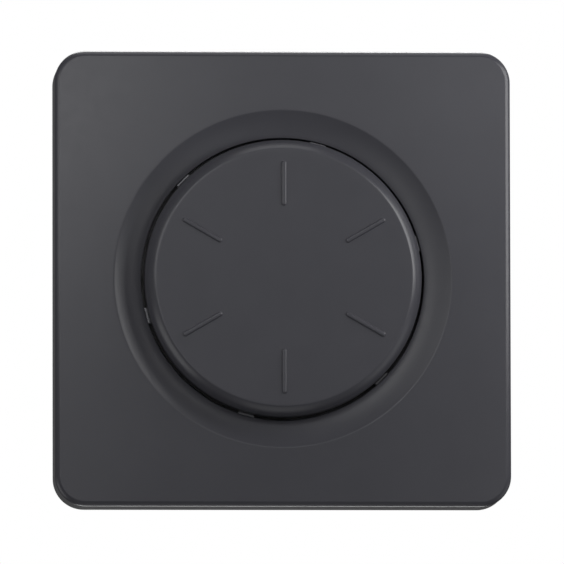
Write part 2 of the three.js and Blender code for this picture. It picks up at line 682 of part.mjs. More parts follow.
// ---- claws ----
// A claw hangs from its trunnions at the origin and bites outwards, along +x, with its teeth.
function claw() {
  const [thick, wide] = [CLAW_THICK / 2, CLAW_WIDTH / 2];
  const strip = block(-thick, thick, -wide, wide, -CLAW_LENGTH, TRUNNION_RADIUS);
  const pin = rodAlongY(TRUNNION_RADIUS, -wide - SEAT_GAP - EAR_THICK, wide + SEAT_GAP + EAR_THICK, SMALL);
  const pitch = CLAW_WIDTH / CLAW_TEETH;
  const teeth = [];
  for (let i = 0; i < CLAW_TEETH; i += 1) {
    const shape = new THREE.Shape();
    const y = -wide + pitch * i;
    shape.moveTo(0, y + pitch / 8);
    shape.lineTo(thick + CLAW_TOOTH, y + pitch / 2);
    shape.lineTo(0, y + (7 * pitch) / 8);
    teeth.push(prism(shape, -CLAW_LENGTH, -CLAW_LENGTH + CLAW_THICK));
  }
  return withJoins(strip, [pin, ...teeth]);
}

function clawNut() {
  const bore = holeRadius(CLAW_SCREW_RADIUS + RUN_GAP, SMALL);
  const [x, y] = [CLAW_NUT_WIDTH / 2, CLAW_NUT_LENGTH / 2];
  const body = block(-x, x, -y, y, -CLAW_NUT_THICK, 0);
  return body.subtract(rod(bore, -CLAW_NUT_THICK - CUT_OVER, CUT_OVER, SMALL));
}

// ---- module shell ----
function moduleLid() {
  return withCuts(prism(barrelOutline(0), 0, LID_THICK, 2 * CORNER_STEPS), sharedHoles(LID_THICK));
}

function terminalCentres() {
  const middle = (TERMINAL_COUNT - 1) / 2;
  return Array.from({ length: TERMINAL_COUNT }, (_, i) => (i - middle) * TERMINAL_PITCH);
}

// y of the middle of the space that a wire is clamped in, with the cage open.
function wireLine() {
  const tabBack = TERMINAL_WALL + CAGE_SEAT + CAGE_WALL + SEAT_GAP + TAB_THICK;
  return (tabBack + TERMINAL_WALL + CAGE_SEAT + CAGE_WALL + CAGE_WINDOW) / 2;
}

function moduleHousing() {
  const [front, back] = [MODULE_FRONT, MODULE_BACK];
  const shell = prism(barrelOutline(0), back, front, 2 * CORNER_STEPS)
    .subtract(prism(barrelOutline(MODULE_WALL), FLOOR_FRONT, front + CUT_OVER, 2 * CORNER_STEPS));
  const joins = MODULE_SCREWS.map(([x, y]) => rod(POST_RADIUS, back, front, SMALL, x, y));
  const half = PARTITION_THICK / 2;
  for (const x of terminalCentres().slice(1)) {
    const middle = x - TERMINAL_PITCH / 2;
    const [low, high] = [TERMINAL_WALL - MODULE_WALL / 2, BOARD_LOWER_EDGE - BOARD_MARGIN];
    joins.push(block(middle - half, middle + half, low, high, back, -TERMINAL_DEPTH));
  }
  const pilot = holeRadius(MODULE_SCREW_RADIUS + RUN_GAP, SMALL);
  const cuts = MODULE_SCREWS.map(([x, y]) => {
    return rod(pilot, front - MODULE_SCREW_LENGTH, front + CUT_OVER, SMALL, x, y);
  });
  for (const x of terminalCentres()) {
    const outside = TERMINAL_WALL - MODULE_WALL - CUT_OVER;
    const level = -TERMINAL_DEPTH - CAGE_DEPTH / 2;
    cuts.push(rodAlongY(DRIVER_HOLE_RADIUS, outside, TERMINAL_WALL + CUT_OVER / 2, SMALL, x, level));
    cuts.push(rod(WIRE_HOLE_RADIUS, back - CUT_OVER, FLOOR_FRONT + CUT_OVER, MEDIUM, x, wireLine()));
  }
  return withCuts(withJoins(shell, joins), cuts);
}

// ---- potentiometer ----
function threadedBush() {
  const bore = holeRadius(SHAFT_RADIUS + RUN_GAP, MEDIUM);
  const shoulder = MODULE_FRONT;
  return turned([
    [bore, FLANGE_BACK], [BUSH_FLANGE_RADIUS, FLANGE_BACK], [BUSH_FLANGE_RADIUS, shoulder],
    [BUSH_RADIUS, shoulder], [BUSH_RADIUS, BUSH_FRONT], [bore, BUSH_FRONT], [bore, FLANGE_BACK],
  ], MEDIUM);
}

function potentiometerBody() {
  const inner = POT_RADIUS - POT_WALL;
  const bore = SHAFT_RADIUS + SEAT_GAP;
  const cup = turned([
    [bore, POT_FRONT], [bore, POT_FRONT - POT_TOP], [inner, POT_FRONT - POT_TOP], [inner, POT_BACK],
    [POT_RADIUS, POT_BACK], [POT_RADIUS, POT_FRONT], [bore, POT_FRONT],
  ], MEDIUM);
  const stop = sector(ROTOR_RADIUS + SEAT_GAP, inner + POT_WALL / 2, STOP_ANGLE, STOP_WIDTH);
  return cup.add(prism(stop, ROTOR_FRONT - ROTOR_THICK, POT_FRONT - POT_TOP / 2));
}

function wiperRotor() {
  const disc = rod(ROTOR_RADIUS, ROTOR_FRONT - ROTOR_THICK, ROTOR_FRONT, MEDIUM);
  const lug = sector(ROTOR_RADIUS - 1, ROTOR_RADIUS + LUG_REACH, LUG_ANGLE, LUG_WIDTH);
  const hole = prism(shaftSection(RUN_GAP), WIPER_FRONT, ROTOR_FRONT + CUT_OVER, SMALL / 2);
  return disc.add(prism(lug, ROTOR_FRONT - ROTOR_THICK, ROTOR_FRONT)).subtract(hole);
}

function wiperContact() {
  const collar = ring(WIPER_INNER, WIPER_OUTER, WIPER_FRONT - WIPER_THICK, WIPER_FRONT, MEDIUM);
  const half = WIPER_THICK;
  const arms = [-2 * half, 2 * half].map((x) => {
    return block(x - half, x + half, WIPER_INNER, WIPER_REACH, WIPER_FRONT - WIPER_THICK, WIPER_FRONT);
  });
  return withJoins(collar, arms);
}

function trackWafer() {
  return ring(WAFER_INNER, POT_RADIUS - POT_WALL - SEAT_GAP, POT_BACK, WAFER_FRONT, MEDIUM);
}

// ---- push switch ----
function switchBase() {
  const half = SWITCH_SIDE / 2;
  const inner = half - SWITCH_WALL;
  const body = block(-half, half, -half, half, PART_SEAT, SWITCH_FRONT);
  const bore = holeRadius(PLUNGER_RADIUS + RUN_GAP, SMALL);
  return withCuts(body, [
    block(-inner, half + CUT_OVER, -inner, inner, CAVITY_BACK, CAVITY_FRONT),
    rod(bore, CAVITY_FRONT - CUT_OVER, SWITCH_FRONT + CUT_OVER, SMALL),
  ]);
}

function switchPlunger() {
  const tip = CAVITY_FRONT - SEAT_GAP;
  return turned([
    [0, tip], [PLUNGER_TIP_RADIUS, tip], [PLUNGER_TIP_RADIUS, tip + PLUNGER_TIP_LENGTH],
    [PLUNGER_RADIUS, tip + PLUNGER_TIP_LENGTH], [PLUNGER_RADIUS, SPRING_FRONT],
    [PLUNGER_FLANGE_RADIUS, SPRING_FRONT], [PLUNGER_FLANGE_RADIUS, PLUNGER_FRONT], [0, PLUNGER_FRONT],
  ], SMALL);
}

// The spring's centre line is a helix, drawn as a curve of its own.
class Helix extends THREE.Curve {
  getPoint(along, target = new THREE.Vector3()) {
    const turn = along * SPRING_TURNS * 2 * Math.PI;
    const span = SPRING_LENGTH - 2 * (SEAT_GAP + SPRING_WIRE);
    const height = SWITCH_FRONT + SEAT_GAP + SPRING_WIRE + span * along;
    return target.set(SPRING_RADIUS * Math.cos(turn), SPRING_RADIUS * Math.sin(turn), height);
  }
}

function returnSpring() {
  const section = new THREE.Shape();
  section.absarc(0, 0, SPRING_WIRE, 0, 2 * Math.PI, false);
  const options = { steps: 10 * SPRING_TURNS, extrudePath: new Helix(), curveSegments: 3 };
  return solidOf(new THREE.ExtrudeGeometry(section, options));
}

// The blade's fixed end is at the origin, and it runs along +y to its contact.
function contactBlade() {
  const half = BLADE_WIDTH / 2;
  const strip = block(-half, half, 0, BLADE_LENGTH, -BLADE_THICK, 0);
  const back = -BLADE_THICK - CONTACT_THICK;
  return strip.add(rod(CONTACT_RADIUS, back, 0, SMALL, 0, BLADE_LENGTH - CONTACT_RADIUS));
}

function fixedContact() {
  const half = BLADE_WIDTH / 2;
  const strip = block(-half, half, -CONTACT_RADIUS, CONTACT_RADIUS, 0, CONTACT_THICK);
  return strip.add(rod(CONTACT_RADIUS, 0, 1.5 * CONTACT_THICK, SMALL));
}

// ---- board and components ----
function circuitBoard() {
  const board = prism(barrelOutline(MODULE_WALL + BOARD_MARGIN), -BOARD_THICK, 0, 2 * CORNER_STEPS);
  const edge = MODULE_HEIGHT;
  const [x, y] = MODULE_SCREWS[0];
  return withCuts(board, [
    block(-edge, edge, -edge, BOARD_LOWER_EDGE, -BOARD_THICK - CUT_OVER, CUT_OVER),
    rod(POST_RADIUS + BOARD_MARGIN, -BOARD_THICK - CUT_OVER, CUT_OVER, SMALL, x, y),
  ]);
}

function roundedBox(width, height, depth) {
  return prism(roundedRectangle(width, height, 0.1 * Math.min(width, height)), 0, depth);
}

function canCapacitor() {
  const [r, d] = [CAN_CAP.radius, CAN_CAP.depth];
  const groove = 0.08 * r;
  return turned([
    [0, 0], [r, 0], [r, 0.12 * d], [r - groove, 0.16 * d], [r, 0.2 * d],
    [r, d - groove], [r - groove, d], [0, d],
  ], SMALL);
}

function varistorDisc() {
  const half = VARISTOR.thick / 2;
  const disc = rodAlongY(VARISTOR.radius, -half, half, MEDIUM, 0, VARISTOR.radius);
  return disc.add(block(-VARISTOR.radius / 2, VARISTOR.radius / 2, -half / 2, half / 2, 0, VARISTOR.radius));
}

function chokeCore() {
  return ring(CHOKE.inner, CHOKE.outer, -CHOKE.thick / 2, CHOKE.thick / 2, MEDIUM);
}

// The winding wraps the core all round, and is open where its two ends stand apart.
function chokeWinding() {
  const skin = WINDING_THICK + SEAT_GAP;
  const half = CHOKE.thick / 2;
  const outside = ring(CHOKE.inner - skin, CHOKE.outer + skin, -half - skin, half + skin, MEDIUM);
  const [inner, outer] = [CHOKE.inner - SEAT_GAP, CHOKE.outer + SEAT_GAP];
  const inside = ring(inner, outer, -half - SEAT_GAP, half + SEAT_GAP, MEDIUM);
  const mouth = WINDING_MOUTH / 2;
  const reach = CHOKE.outer + skin + CUT_OVER;
  return withCuts(outside, [inside, block(-mouth, mouth, -reach, 0, -reach, reach)]);
}

function resistor() {
  const [r, half] = [RESISTOR.radius, RESISTOR.length / 2];
  const cap = 0.2 * RESISTOR.length;
  const barrel = solidOf(turnedGeometry([
    [0, -half + cap / 2], [r, -half + cap / 2], [r, -half + cap], [0.85 * r, -half + 1.3 * cap],
    [0.85 * r, half - 1.3 * cap], [r, half - cap], [r, half - cap / 2], [0, half - cap / 2],
  ], SMALL).rotateX(-Math.PI / 2));
  const leads = [-half, half].flatMap((y) => [
    rodAlongY(RESISTOR.lead, Math.min(y, 0), Math.max(y, 0), 8),
    rod(RESISTOR.lead, -r, RESISTOR.lead, 8, 0, y),
  ]);
  return withJoins(barrel, leads);
}

function trimmerRotor() {
  const disc = rod(TRIMMER.rotorRadius, 0, TRIMMER.rotorThick, SMALL);
  const half = TRIMMER.rotorRadius / 6;
  const reach = TRIMMER.rotorRadius + CUT_OVER;
  const depth = TRIMMER.rotorThick / 2;
  return disc.subtract(block(-reach, reach, -half, half, depth, TRIMMER.rotorThick + CUT_OVER));
}

// ---- triac and heat spreader ----
// The spreader's inner face is at x = 0, and the triac lies against it towards -x.
function spreaderHoleLevel() {
  return PART_SEAT + TRIAC_LEAD + TRIAC_BODY + TRIAC_TAB / 2;
}

function heatSpreader() {
  const plate = block(0, SPREADER_THICK, SPREADER_LOW, SPREADER_HIGH, PART_SEAT, -SPREADER_DEPTH);
  const bore = holeRadius(TRIAC_SCREW_RADIUS + RUN_GAP, SMALL);
  const through = SPREADER_THICK + CUT_OVER;
  return plate.subtract(rodAlongX(bore, -CUT_OVER, through, SMALL, TRIAC_Y, spreaderHoleLevel()));
}

function triac() {
  const half = TRIAC_WIDTH / 2;
  const foot = PART_SEAT + TRIAC_LEAD;
  const top = foot + TRIAC_BODY;
  const body = block(-TRIAC_THICK, 0, -half, half, foot, top);
  const tab = block(-TRIAC_TAB_THICK, 0, -half, half, foot, top + TRIAC_TAB);
  const lead = TRIAC_LEAD / 2;
  const leads = [-TRIAC_PITCH, 0, TRIAC_PITCH].map((y) => {
    const x = -TRIAC_THICK / 2;
    return block(x - lead, x + lead, y - lead, y + lead, PART_SEAT, foot + lead);
  });
  const bore = holeRadius(TRIAC_SCREW_RADIUS + RUN_GAP, SMALL);
  const hole = rodAlongX(bore, -TRIAC_THICK, CUT_OVER, SMALL, 0, spreaderHoleLevel());
  return withJoins(body, [tab, ...leads]).subtract(hole);
}

// ---- terminals: the origin is on the inside of the module's lower wall, and +y leads inwards ----
function terminalCage() {
  const [half, deep] = [CAGE_WIDTH / 2, CAGE_DEPTH / 2];
  const length = CAGE_WINDOW + 2 * CAGE_WALL;
  const body = block(-half, half, 0, length, -deep, deep);
  const inner = half - CAGE_WALL;
  const bore = holeRadius(TERMINAL_SCREW_RADIUS + RUN_GAP, SMALL);
  return withCuts(body, [
    block(-inner, inner, CAGE_WALL, CAGE_WALL + CAGE_WINDOW, -deep - CUT_OVER, deep + CUT_OVER),
    rodAlongY(bore, -CUT_OVER, CAGE_WALL + CUT_OVER / 2, SMALL),
  ]);
}

// A strip through the cage, with a leg that reaches over to the board.
function terminalTab() {
  const half = TAB_WIDTH / 2;
  const near = CAGE_SEAT + CAGE_WALL + SEAT_GAP;
  const front = CAGE_DEPTH / 2 + 2 * TAB_THICK;
  const far = BOARD_LOWER_EDGE - TERMINAL_WALL + 2 * TAB_THICK;
  const seat = PART_SEAT + TERMINAL_DEPTH + CAGE_DEPTH / 2;
  const strip = block(-half, half, near, near + TAB_THICK, front - TAB_LENGTH, front);
  return withJoins(strip, [
    block(-half, half, near, far, front - TAB_THICK, front),
    block(-half, half, far - TAB_THICK, far, seat, front),
  ]);
}

function terminalScrew() {
  const shank = CAGE_SEAT + CAGE_WALL - TERMINAL_HEAD_THICK - SEAT_GAP;
  return screw(TERMINAL_SCREW_RADIUS, shank, TERMINAL_HEAD_RADIUS, TERMINAL_HEAD_THICK);
}

// ---- assembly ----
function addPiece(parent, name, solid, material, x = 0, y = 0, z = 0) {
  const mesh = new THREE.Mesh(geometryOf(solid), material);
  mesh.name = name;
  mesh.position.set(x, y, z);
  parent.add(mesh);
  return mesh;
}

function addFront(parent) {
  addPiece(parent, 'cover_frame', coverFrame(), anthracitePlastic());
  addPiece(parent, 'knob_cap', knobCap(), anthracitePlastic(), 0, 0, SKIRT_BACK);
  const clipSeat = HUB_BACK + SEAT_GAP;
  addPiece(parent, 'knob_hub_clip', hubClip(), springSteel(), 0, 0, clipSeat);
  addPiece(parent, 'control_shaft', controlShaft(), whitePlastic());
  addPiece(parent, 'centre_plate', centrePlate(), blackPlastic(), 0, 0, PAN_BACK);
  addPiece(parent, 'retaining_ring', retainingRing(), springSteel(), 0, 0, RING_BACK);
  addPiece(parent, 'lock_washer', lockWasher(), springSteel(), 0, 0, WASHER_BACK);
  addPiece(parent, 'bush_nut', bushNut(), zincSteel(), 0, 0, NUT_BACK);
}

function addPlateAndClaws(parent) {
  addPiece(parent, 'support_plate', supportPlate(), zincSteel());
  const sides = [['left', -1], ['right', 1]];
  for (const [name, side] of sides) {
    const wing = new THREE.Group();
    wing.rotation.z = side > 0 ? 0 : Math.PI;
    const shank = screw(CLAW_SCREW_RADIUS, CLAW_SCREW_LENGTH, HEAD_RADIUS, HEAD_THICK);
    addPiece(wing, `claw_screw_${name}`, shank, zincSteel(), CLAW_SCREW_X, 0, HEAD_SEAT);
    addPiece(wing, `claw_nut_${name}`, clawNut(), zincSteel(), CLAW_SCREW_X, 0, -CLAW_NUT_DEPTH);
    addPiece(wing, `claw_${name}`, claw(), zincSteel(), CLAW_X, 0, -CLAW_PIVOT_DEPTH);
    parent.add(wing);
  }
  MODULE_SCREWS.forEach(([x, y], i) => {
    const fixing = screw(MODULE_SCREW_RADIUS, MODULE_SCREW_LENGTH, HEAD_RADIUS, HEAD_THICK);
    addPiece(parent, `module_screw_${i + 1}`, fixing, zincSteel(), x, y, HEAD_SEAT);
  });
}

function addControl(parent) {
  addPiece(parent, 'threaded_bush', threadedBush(), brass());
  addPiece(parent, 'potentiometer_body', potentiometerBody(), blackPlastic());
  addPiece(parent, 'wiper_rotor', wiperRotor(), whitePlastic());
  addPiece(parent, 'wiper_contact', wiperContact(), brass());
  addPiece(parent, 'track_wafer', trackWafer(), carbonLaminate());
  addPiece(parent, 'switch_base', switchBase(), blackPlastic());
  addPiece(parent, 'switch_plunger', switchPlunger(), whitePlastic());
  addPiece(parent, 'return_spring', returnSpring(), springSteel());
  addPiece(parent, 'contact_blade', contactBlade(), copper(), 0, BLADE_PIVOT, BLADE_FRONT);
  const contactY = BLADE_PIVOT + BLADE_LENGTH - CONTACT_RADIUS;
  addPiece(parent, 'fixed_contact', fixedContact(), copper(), 0, contactY, CAVITY_BACK + SEAT_GAP / 2);
}

function addBoard(parent) {
  addPiece(parent, 'circuit_board', circuitBoard(), boardLaminate(), 0, 0, BOARD_FRONT);
  const film = roundedBox(FILM_CAP.width, FILM_CAP.height, FILM_CAP.depth);
  addPiece(parent, 'film_capacitor', film, redEpoxy(), FILM_CAP.x, FILM_CAP.y, PART_SEAT);
  const chip = roundedBox(CHIP.width, CHIP.height, CHIP.depth);
  addPiece(parent, 'control_chip', chip, blackPlastic(), CHIP.x, CHIP.y, PART_SEAT);
  addPiece(parent, 'electrolytic_capacitor', canCapacitor(), capSleeve(), CAN_CAP.x, CAN_CAP.y, PART_SEAT);
  addPiece(parent, 'varistor', varistorDisc(), blueEpoxy(), VARISTOR.x, VARISTOR.y, PART_SEAT);
  const chokeLevel = PART_SEAT + CHOKE.thick / 2 + WINDING_THICK + SEAT_GAP;
  addPiece(parent, 'choke_core', chokeCore(), ferrite(), CHOKE.x, CHOKE.y, chokeLevel);
  addPiece(parent, 'choke_winding', chokeWinding(), copper(), CHOKE.x, CHOKE.y, chokeLevel);
  [0, 1].forEach((i) => {
    const x = RESISTOR.x + i * RESISTOR.pitch;
    addPiece(parent, `resistor_${i + 1}`, resistor(), resistorLacquer(), x, 0, PART_SEAT + RESISTOR.radius);
  });
  const trimmer = roundedBox(TRIMMER.side, TRIMMER.side, TRIMMER.depth);
  addPiece(parent, 'trimmer_body', trimmer, blackPlastic(), TRIMMER.x, TRIMMER.y, PART_SEAT);
  const rotorSeat = PART_SEAT + TRIMMER.depth + SEAT_GAP;
  addPiece(parent, 'trimmer_rotor', trimmerRotor(), whitePlastic(), TRIMMER.x, TRIMMER.y, rotorSeat);
}

function addTriac(parent) {
  const face = MODULE_WIDTH / 2 - MODULE_WALL - SEAT_GAP - SPREADER_THICK;
  addPiece(parent, 'heat_spreader', heatSpreader(), aluminium(), face, 0, 0);
  addPiece(parent, 'triac', triac(), blackPlastic(), face - SEAT_GAP, TRIAC_Y, 0);
  const length = SEAT_GAP + TRIAC_TAB_THICK + SPREADER_THICK;
  const fixing = screw(TRIAC_SCREW_RADIUS, length, TRIAC_SCREW_HEAD, HEAD_THICK);
  const headSeat = face - 2 * SEAT_GAP - TRIAC_TAB_THICK;
  const mesh = addPiece(parent, 'triac_screw', fixing, zincSteel(), headSeat, TRIAC_Y, spreaderHoleLevel());
  mesh.rotation.y = -Math.PI / 2;
}

function addTerminals(parent) {
  terminalCentres().forEach((x, i) => {
    const terminal = new THREE.Group();
    terminal.position.set(x, TERMINAL_WALL, -TERMINAL_DEPTH - CAGE_DEPTH / 2);
    addPiece(terminal, `terminal_cage_${i + 1}`, terminalCage(), zincSteel(), 0, CAGE_SEAT, 0);
    addPiece(terminal, `terminal_tab_${i + 1}`, terminalTab(), brass());
    const headSeat = SEAT_GAP + TERMINAL_HEAD_THICK;
    const fixing = addPiece(terminal, `terminal_screw_${i + 1}`, terminalScrew(), zincSteel(), 0, headSeat, 0);
    fixing.rotation.x = Math.PI / 2;
    parent.add(terminal);
  });
}

const dimmer = new THREE.Group();
dimmer.rotation.x = Math.PI / 2;
addFront(dimmer);
addPlateAndClaws(dimmer);
addPiece(dimmer, 'module_lid', moduleLid(), greyPlastic(), 0, 0, LID_BACK);
addPiece(dimmer, 'module_housing', moduleHousing(), greyPlastic());
addControl(dimmer);
addBoard(dimmer);
addTriac(dimmer);
addTerminals(dimmer);

export default dimmer;
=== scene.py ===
"""Flush-mounted rotary dimmer: the fine surfaces, finishes, studio and camera round the CAD frame.

Shapes are worked out in millimetres in the wall's own axes: x to the right, up, and out of the wall.
row_frame() turns them to the frame's axes, in metres. Each solid is a pair of points and faces.
"""
import json
import math

import bmesh
import bpy
import numpy as np
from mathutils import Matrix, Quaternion, Vector
from mathutils.geometry import tessellate_polygon


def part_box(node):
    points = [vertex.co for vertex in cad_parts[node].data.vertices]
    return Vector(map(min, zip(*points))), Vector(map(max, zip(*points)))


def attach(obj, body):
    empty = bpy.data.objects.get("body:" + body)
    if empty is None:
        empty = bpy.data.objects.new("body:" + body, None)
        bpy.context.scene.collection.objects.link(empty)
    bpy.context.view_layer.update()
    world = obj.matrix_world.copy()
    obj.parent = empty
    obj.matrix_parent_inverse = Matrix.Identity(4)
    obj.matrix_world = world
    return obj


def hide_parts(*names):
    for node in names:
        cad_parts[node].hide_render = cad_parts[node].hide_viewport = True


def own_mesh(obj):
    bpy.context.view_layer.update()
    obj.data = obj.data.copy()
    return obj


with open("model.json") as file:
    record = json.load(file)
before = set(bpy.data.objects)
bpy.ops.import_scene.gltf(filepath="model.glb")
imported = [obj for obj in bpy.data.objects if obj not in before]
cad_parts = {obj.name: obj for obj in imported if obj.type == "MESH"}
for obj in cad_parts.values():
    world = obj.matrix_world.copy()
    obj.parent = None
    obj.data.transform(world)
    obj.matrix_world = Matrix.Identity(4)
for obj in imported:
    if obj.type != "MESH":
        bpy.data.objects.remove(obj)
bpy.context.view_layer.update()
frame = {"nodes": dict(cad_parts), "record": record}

MM = 0.001


# ---- sizes read from the frame, in millimetres ----
def node_span(node):
    """Lowest and highest corner of a CAD node as (x, up, out) in millimetres."""
    low, high = (np.array(corner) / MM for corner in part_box(node))
    return np.array((low[0], low[2], -high[1])), np.array((high[0], high[2], -low[1]))


FRAME_LOW, FRAME_HIGH = node_span("cover_frame")
KNOB_LOW, KNOB_HIGH = node_span("knob_cap")
PLATE_LOW, PLATE_HIGH = node_span("support_plate")
LID_LOW, LID_HIGH = node_span("module_lid")
HOUSING_LOW, HOUSING_HIGH = node_span("module_housing")

# ---- sizes shared with the CAD model, in millimetres ----
FRAME_CORNER = 5.5
FRAME_WALL = 2.0
KNOB_GAP = 0.55
KNOB_PROUD = 3.5
DISH_WIDTH = 4.85
DISH_DEPTH = 1.6
COLLAR_WALL = 1.5
LEDGE_WIDTH = 2.5
LEDGE_THICK = 0.8
LEDGE_BACK = 3.5
KNOB_WALL = 1.7
KNOB_TOP = 1.7
SHOULDER_WIDTH = 1.77
SHOULDER_HEIGHT = 3.0
SHOULDER_TURN = math.pi / 3
FACE_SAG = 0.4
SKIRT_BACK = 8.0
RIDGE_COUNT = 6
RIDGE_INNER = 12.7
RIDGE_LENGTH = 8.0
RIDGE_WIDTH = 0.9
RIDGE_HEIGHT = 0.3
HUB_RADIUS = 4.55
HUB_BACK = 7.3
SHAFT_RADIUS = 3.0
SPRING_RADIUS = 2.6
SPRING_WIRE = 0.22
SPRING_TURNS = 3
PLATE_CORNER = 4.0
BOX_SCREW_SPACING = 60.0
SLOT_LENGTH = 10.0
SLOT_WIDTH = 3.8
WINDOW_LENGTH = 7.0
WINDOW_WIDTH = 3.0
WINDOW_OFFSET = 29.0
BUSH_HOLE = 4.8
TRIMMER_HOLE = (-14.5, 8.3, 1.5)
MODULE_SCREWS = ((-6.0, 21.0), (17.0, -15.0))
MODULE_SCREW_HOLE = 1.36
MODULE_RADIUS = 27.0
MODULE_WALL = 1.7
HEAD_THICK = 1.6
CLAW_SCREW_X = 24.4
CLAW_SCREW_HOLE = 1.66
CLAW_PIVOT_X = 27.1
CLAW_PIVOT_OUT = -1.4
CLAW_HALF_THICK = 0.5
CLAW_HALF_WIDTH = 4.8
CLAW_TOOTH = 1.3
EAR_NEAR = 5.1
EAR_FAR = 6.1
EAR_HALF_WIDTH = 1.3
CAGE_WALL = 1.0
DRIVER_HOLE = 1.95
RUN_GAP = 0.08
WIRE_HOLE = 3.0

# ---- sizes of the fine surfaces alone, in millimetres ----
FRAME_EDGE = 0.9
EDGE_DROP = 0.9
EDGE_LEAN = math.radians(28.0)
DISH_EASE = 0.15
DISH_SLOPE = 0.6            # share of the dish's rise that is in line with its width
SHEET_EDGE = 0.12
LID_EDGE = 0.2
RIB_OFFSET = 22.0
RIB_HALF_THICK = 0.6
RIB_CLEARANCE = 0.4
SCREW_PITCH = 0.5
CLAW_SCREW_SHANK = 1.5
MODULE_SCREW_SHANK = 1.2
NUT_HOLE = 1.6
PIN_RADIUS = 0.6
PIN_HOLE = 0.68
TOOTH_SPACING = 3.2
FUNNEL_RADIUS = 3.6
WIRE_DROP = 1.6             # from the inside of an open cage's top to the wire's middle line

KNOB_RADIUS = KNOB_HIGH[0]
WELL_RADIUS = KNOB_RADIUS + KNOB_GAP
DISH_RADIUS = WELL_RADIUS + DISH_WIDTH
FACE_RADIUS = KNOB_RADIUS - SHOULDER_WIDTH
FRAME_FRONT = FRAME_HIGH[2]
DISH_FLOOR = FRAME_FRONT - DISH_DEPTH
KNOB_FRONT = FRAME_FRONT + KNOB_PROUD
MODULE_HALF = HOUSING_HIGH[:2]


# ---- solids as whole arrays ----
def row_frame(points):
    """(x, up, out) in millimetres to the frame's axes in metres: x stays, up becomes Z and out becomes -Y."""
    x, up, out = points.T
    return np.column_stack((x, -out, up)) * MM


def grid_faces(rows, columns, ring=False):
    """The quads of a grid of points whose columns run round a loop. With ring, the last row meets the
    first."""
    spans = rows if ring else rows - 1
    row, column = np.meshgrid(np.arange(spans), np.arange(columns), indexing="ij")
    after, beside = (row + 1) % rows, (column + 1) % columns
    corners = (
        row * columns + column,
        row * columns + beside,
        after * columns + beside,
        after * columns + column,
    )
    return np.stack(corners, axis=-1).reshape(-1, 4).tolist()


def joined(*solids):
    """Several solids as one list of points and one of faces."""
    points, faces, count = [], [], 0
    for some_points, some_faces in solids:
        points.append(some_points)
        faces += [[corner + count for corner in face] for face in some_faces]
        count += len(some_points)
    return np.vstack(points), faces


def moved(solid, x=0.0, up=0.0, out=0.0):
    """A solid shifted by a distance along each axis."""
    points, faces = solid
    return points + np.array((x, up, out)), faces


def turned_round(solid, angle):
    """A solid turned about the outward axis by an angle in radians."""
    points, faces = solid
    c, s = math.cos(angle), math.sin(angle)
    return points @ np.array(((c, s, 0.0), (-s, c, 0.0), (0.0, 0.0, 1.0))), faces


def laid_along(solid, axis):
    """A solid whose outward axis is laid along x or along up, by swapping its three axes in turn."""
    points, faces = solid
    order = {"x": (2, 0, 1), "up": (1, 2, 0)}[axis]
    return points[:, order], faces


def revolved(profile, angles=None, columns=96, ring=False):
    """A profile of (radius, out) carried round the outward axis: x = radius cos a, up = radius sin a."""
    profile = np.array(profile, float)
    if angles is None:
        angles = np.linspace(0.0, 2.0 * math.pi, columns, endpoint=False)
    x = np.outer(profile[:, 0], np.cos(angles))
    up = np.outer(profile[:, 0], np.sin(angles))
    out = np.repeat(profile[:, 1:2], len(angles), axis=1)
    points = np.stack((x, up, out), axis=-1).reshape(-1, 3)
    return points, grid_faces(len(profile), len(angles), ring)


def stacked(loops, ring=False):
    """Loops of equal length joined one to the next. The first and last are filled, unless they meet as a
    ring."""
    columns = len(loops[0])
    faces = grid_faces(len(loops), columns, ring)
    if not ring:
        last = (len(loops) - 1) * columns
        faces += [list(range(columns))[::-1], list(range(last, last + columns))]
    return np.vstack(loops), faces


def at_level(loop, out):
    """A flat loop of (x, up) set at a distance out of the wall."""
    return np.column_stack((loop, np.full(len(loop), float(out))))


def inset_loop(loop, distance):
    """Each point of a counterclockwise loop moved inwards, square to the mean of its two edges."""
    before, after = loop - np.roll(loop, 1, axis=0), np.roll(loop, -1, axis=0) - loop
    before /= np.linalg.norm(before, axis=1, keepdims=True)
    after /= np.linalg.norm(after, axis=1, keepdims=True)
    along = before + after
    lean = np.linalg.norm(along, axis=1, keepdims=True)
    inwards = np.column_stack((-along[:, 1], along[:, 0])) / lean
    return loop + inwards * distance / (lean / 2.0)


def rounded_rectangle(half_x, half_up, corner, side_steps=24, corner_steps=12):
    """Four quarter circles joined by straight sides that are cut into equal steps, counterclockwise."""
    turn = np.linspace(0.0, math.pi / 2.0, corner_steps + 1)
    loop = []
    for quarter, (sign_x, sign_up) in enumerate(((1, 1), (-1, 1), (-1, -1), (1, -1))):
        centre = np.array((sign_x * (half_x - corner), sign_up * (half_up - corner)))
        angle = turn + quarter * math.pi / 2.0
        loop.append(centre + corner * np.column_stack((np.cos(angle), np.sin(angle))))
    sides = []
    for quarter in range(4):
        start, end = loop[quarter][-1], loop[(quarter + 1) % 4][0]
        share = np.linspace(0.0, 1.0, side_steps + 1)[1:-1, None]
        sides += [loop[quarter], start + (end - start) * share]
    return np.vstack(sides)


def circle_loop(radius, x=0.0, up=0.0, columns=48):
    """Equal steps round a circle, counterclockwise."""
    angle = np.linspace(0.0, 2.0 * math.pi, columns, endpoint=False)
    return np.column_stack((x + radius * np.cos(angle), up + radius * np.sin(angle)))


def slot_loop(x, up, upright, steps=12):
    """Two half circles joined by straight sides."""
    half = SLOT_WIDTH / 2.0
    run = SLOT_LENGTH / 2.0 - half
    turn = np.linspace(-math.pi / 2.0, math.pi / 2.0, steps + 1)
    right = np.column_stack((run + half * np.cos(turn), half * np.sin(turn)))
    loop = np.vstack((right, -right))
    if upright:
        loop = np.column_stack((-loop[:, 1], loop[:, 0]))
    return loop + np.array((x, up))


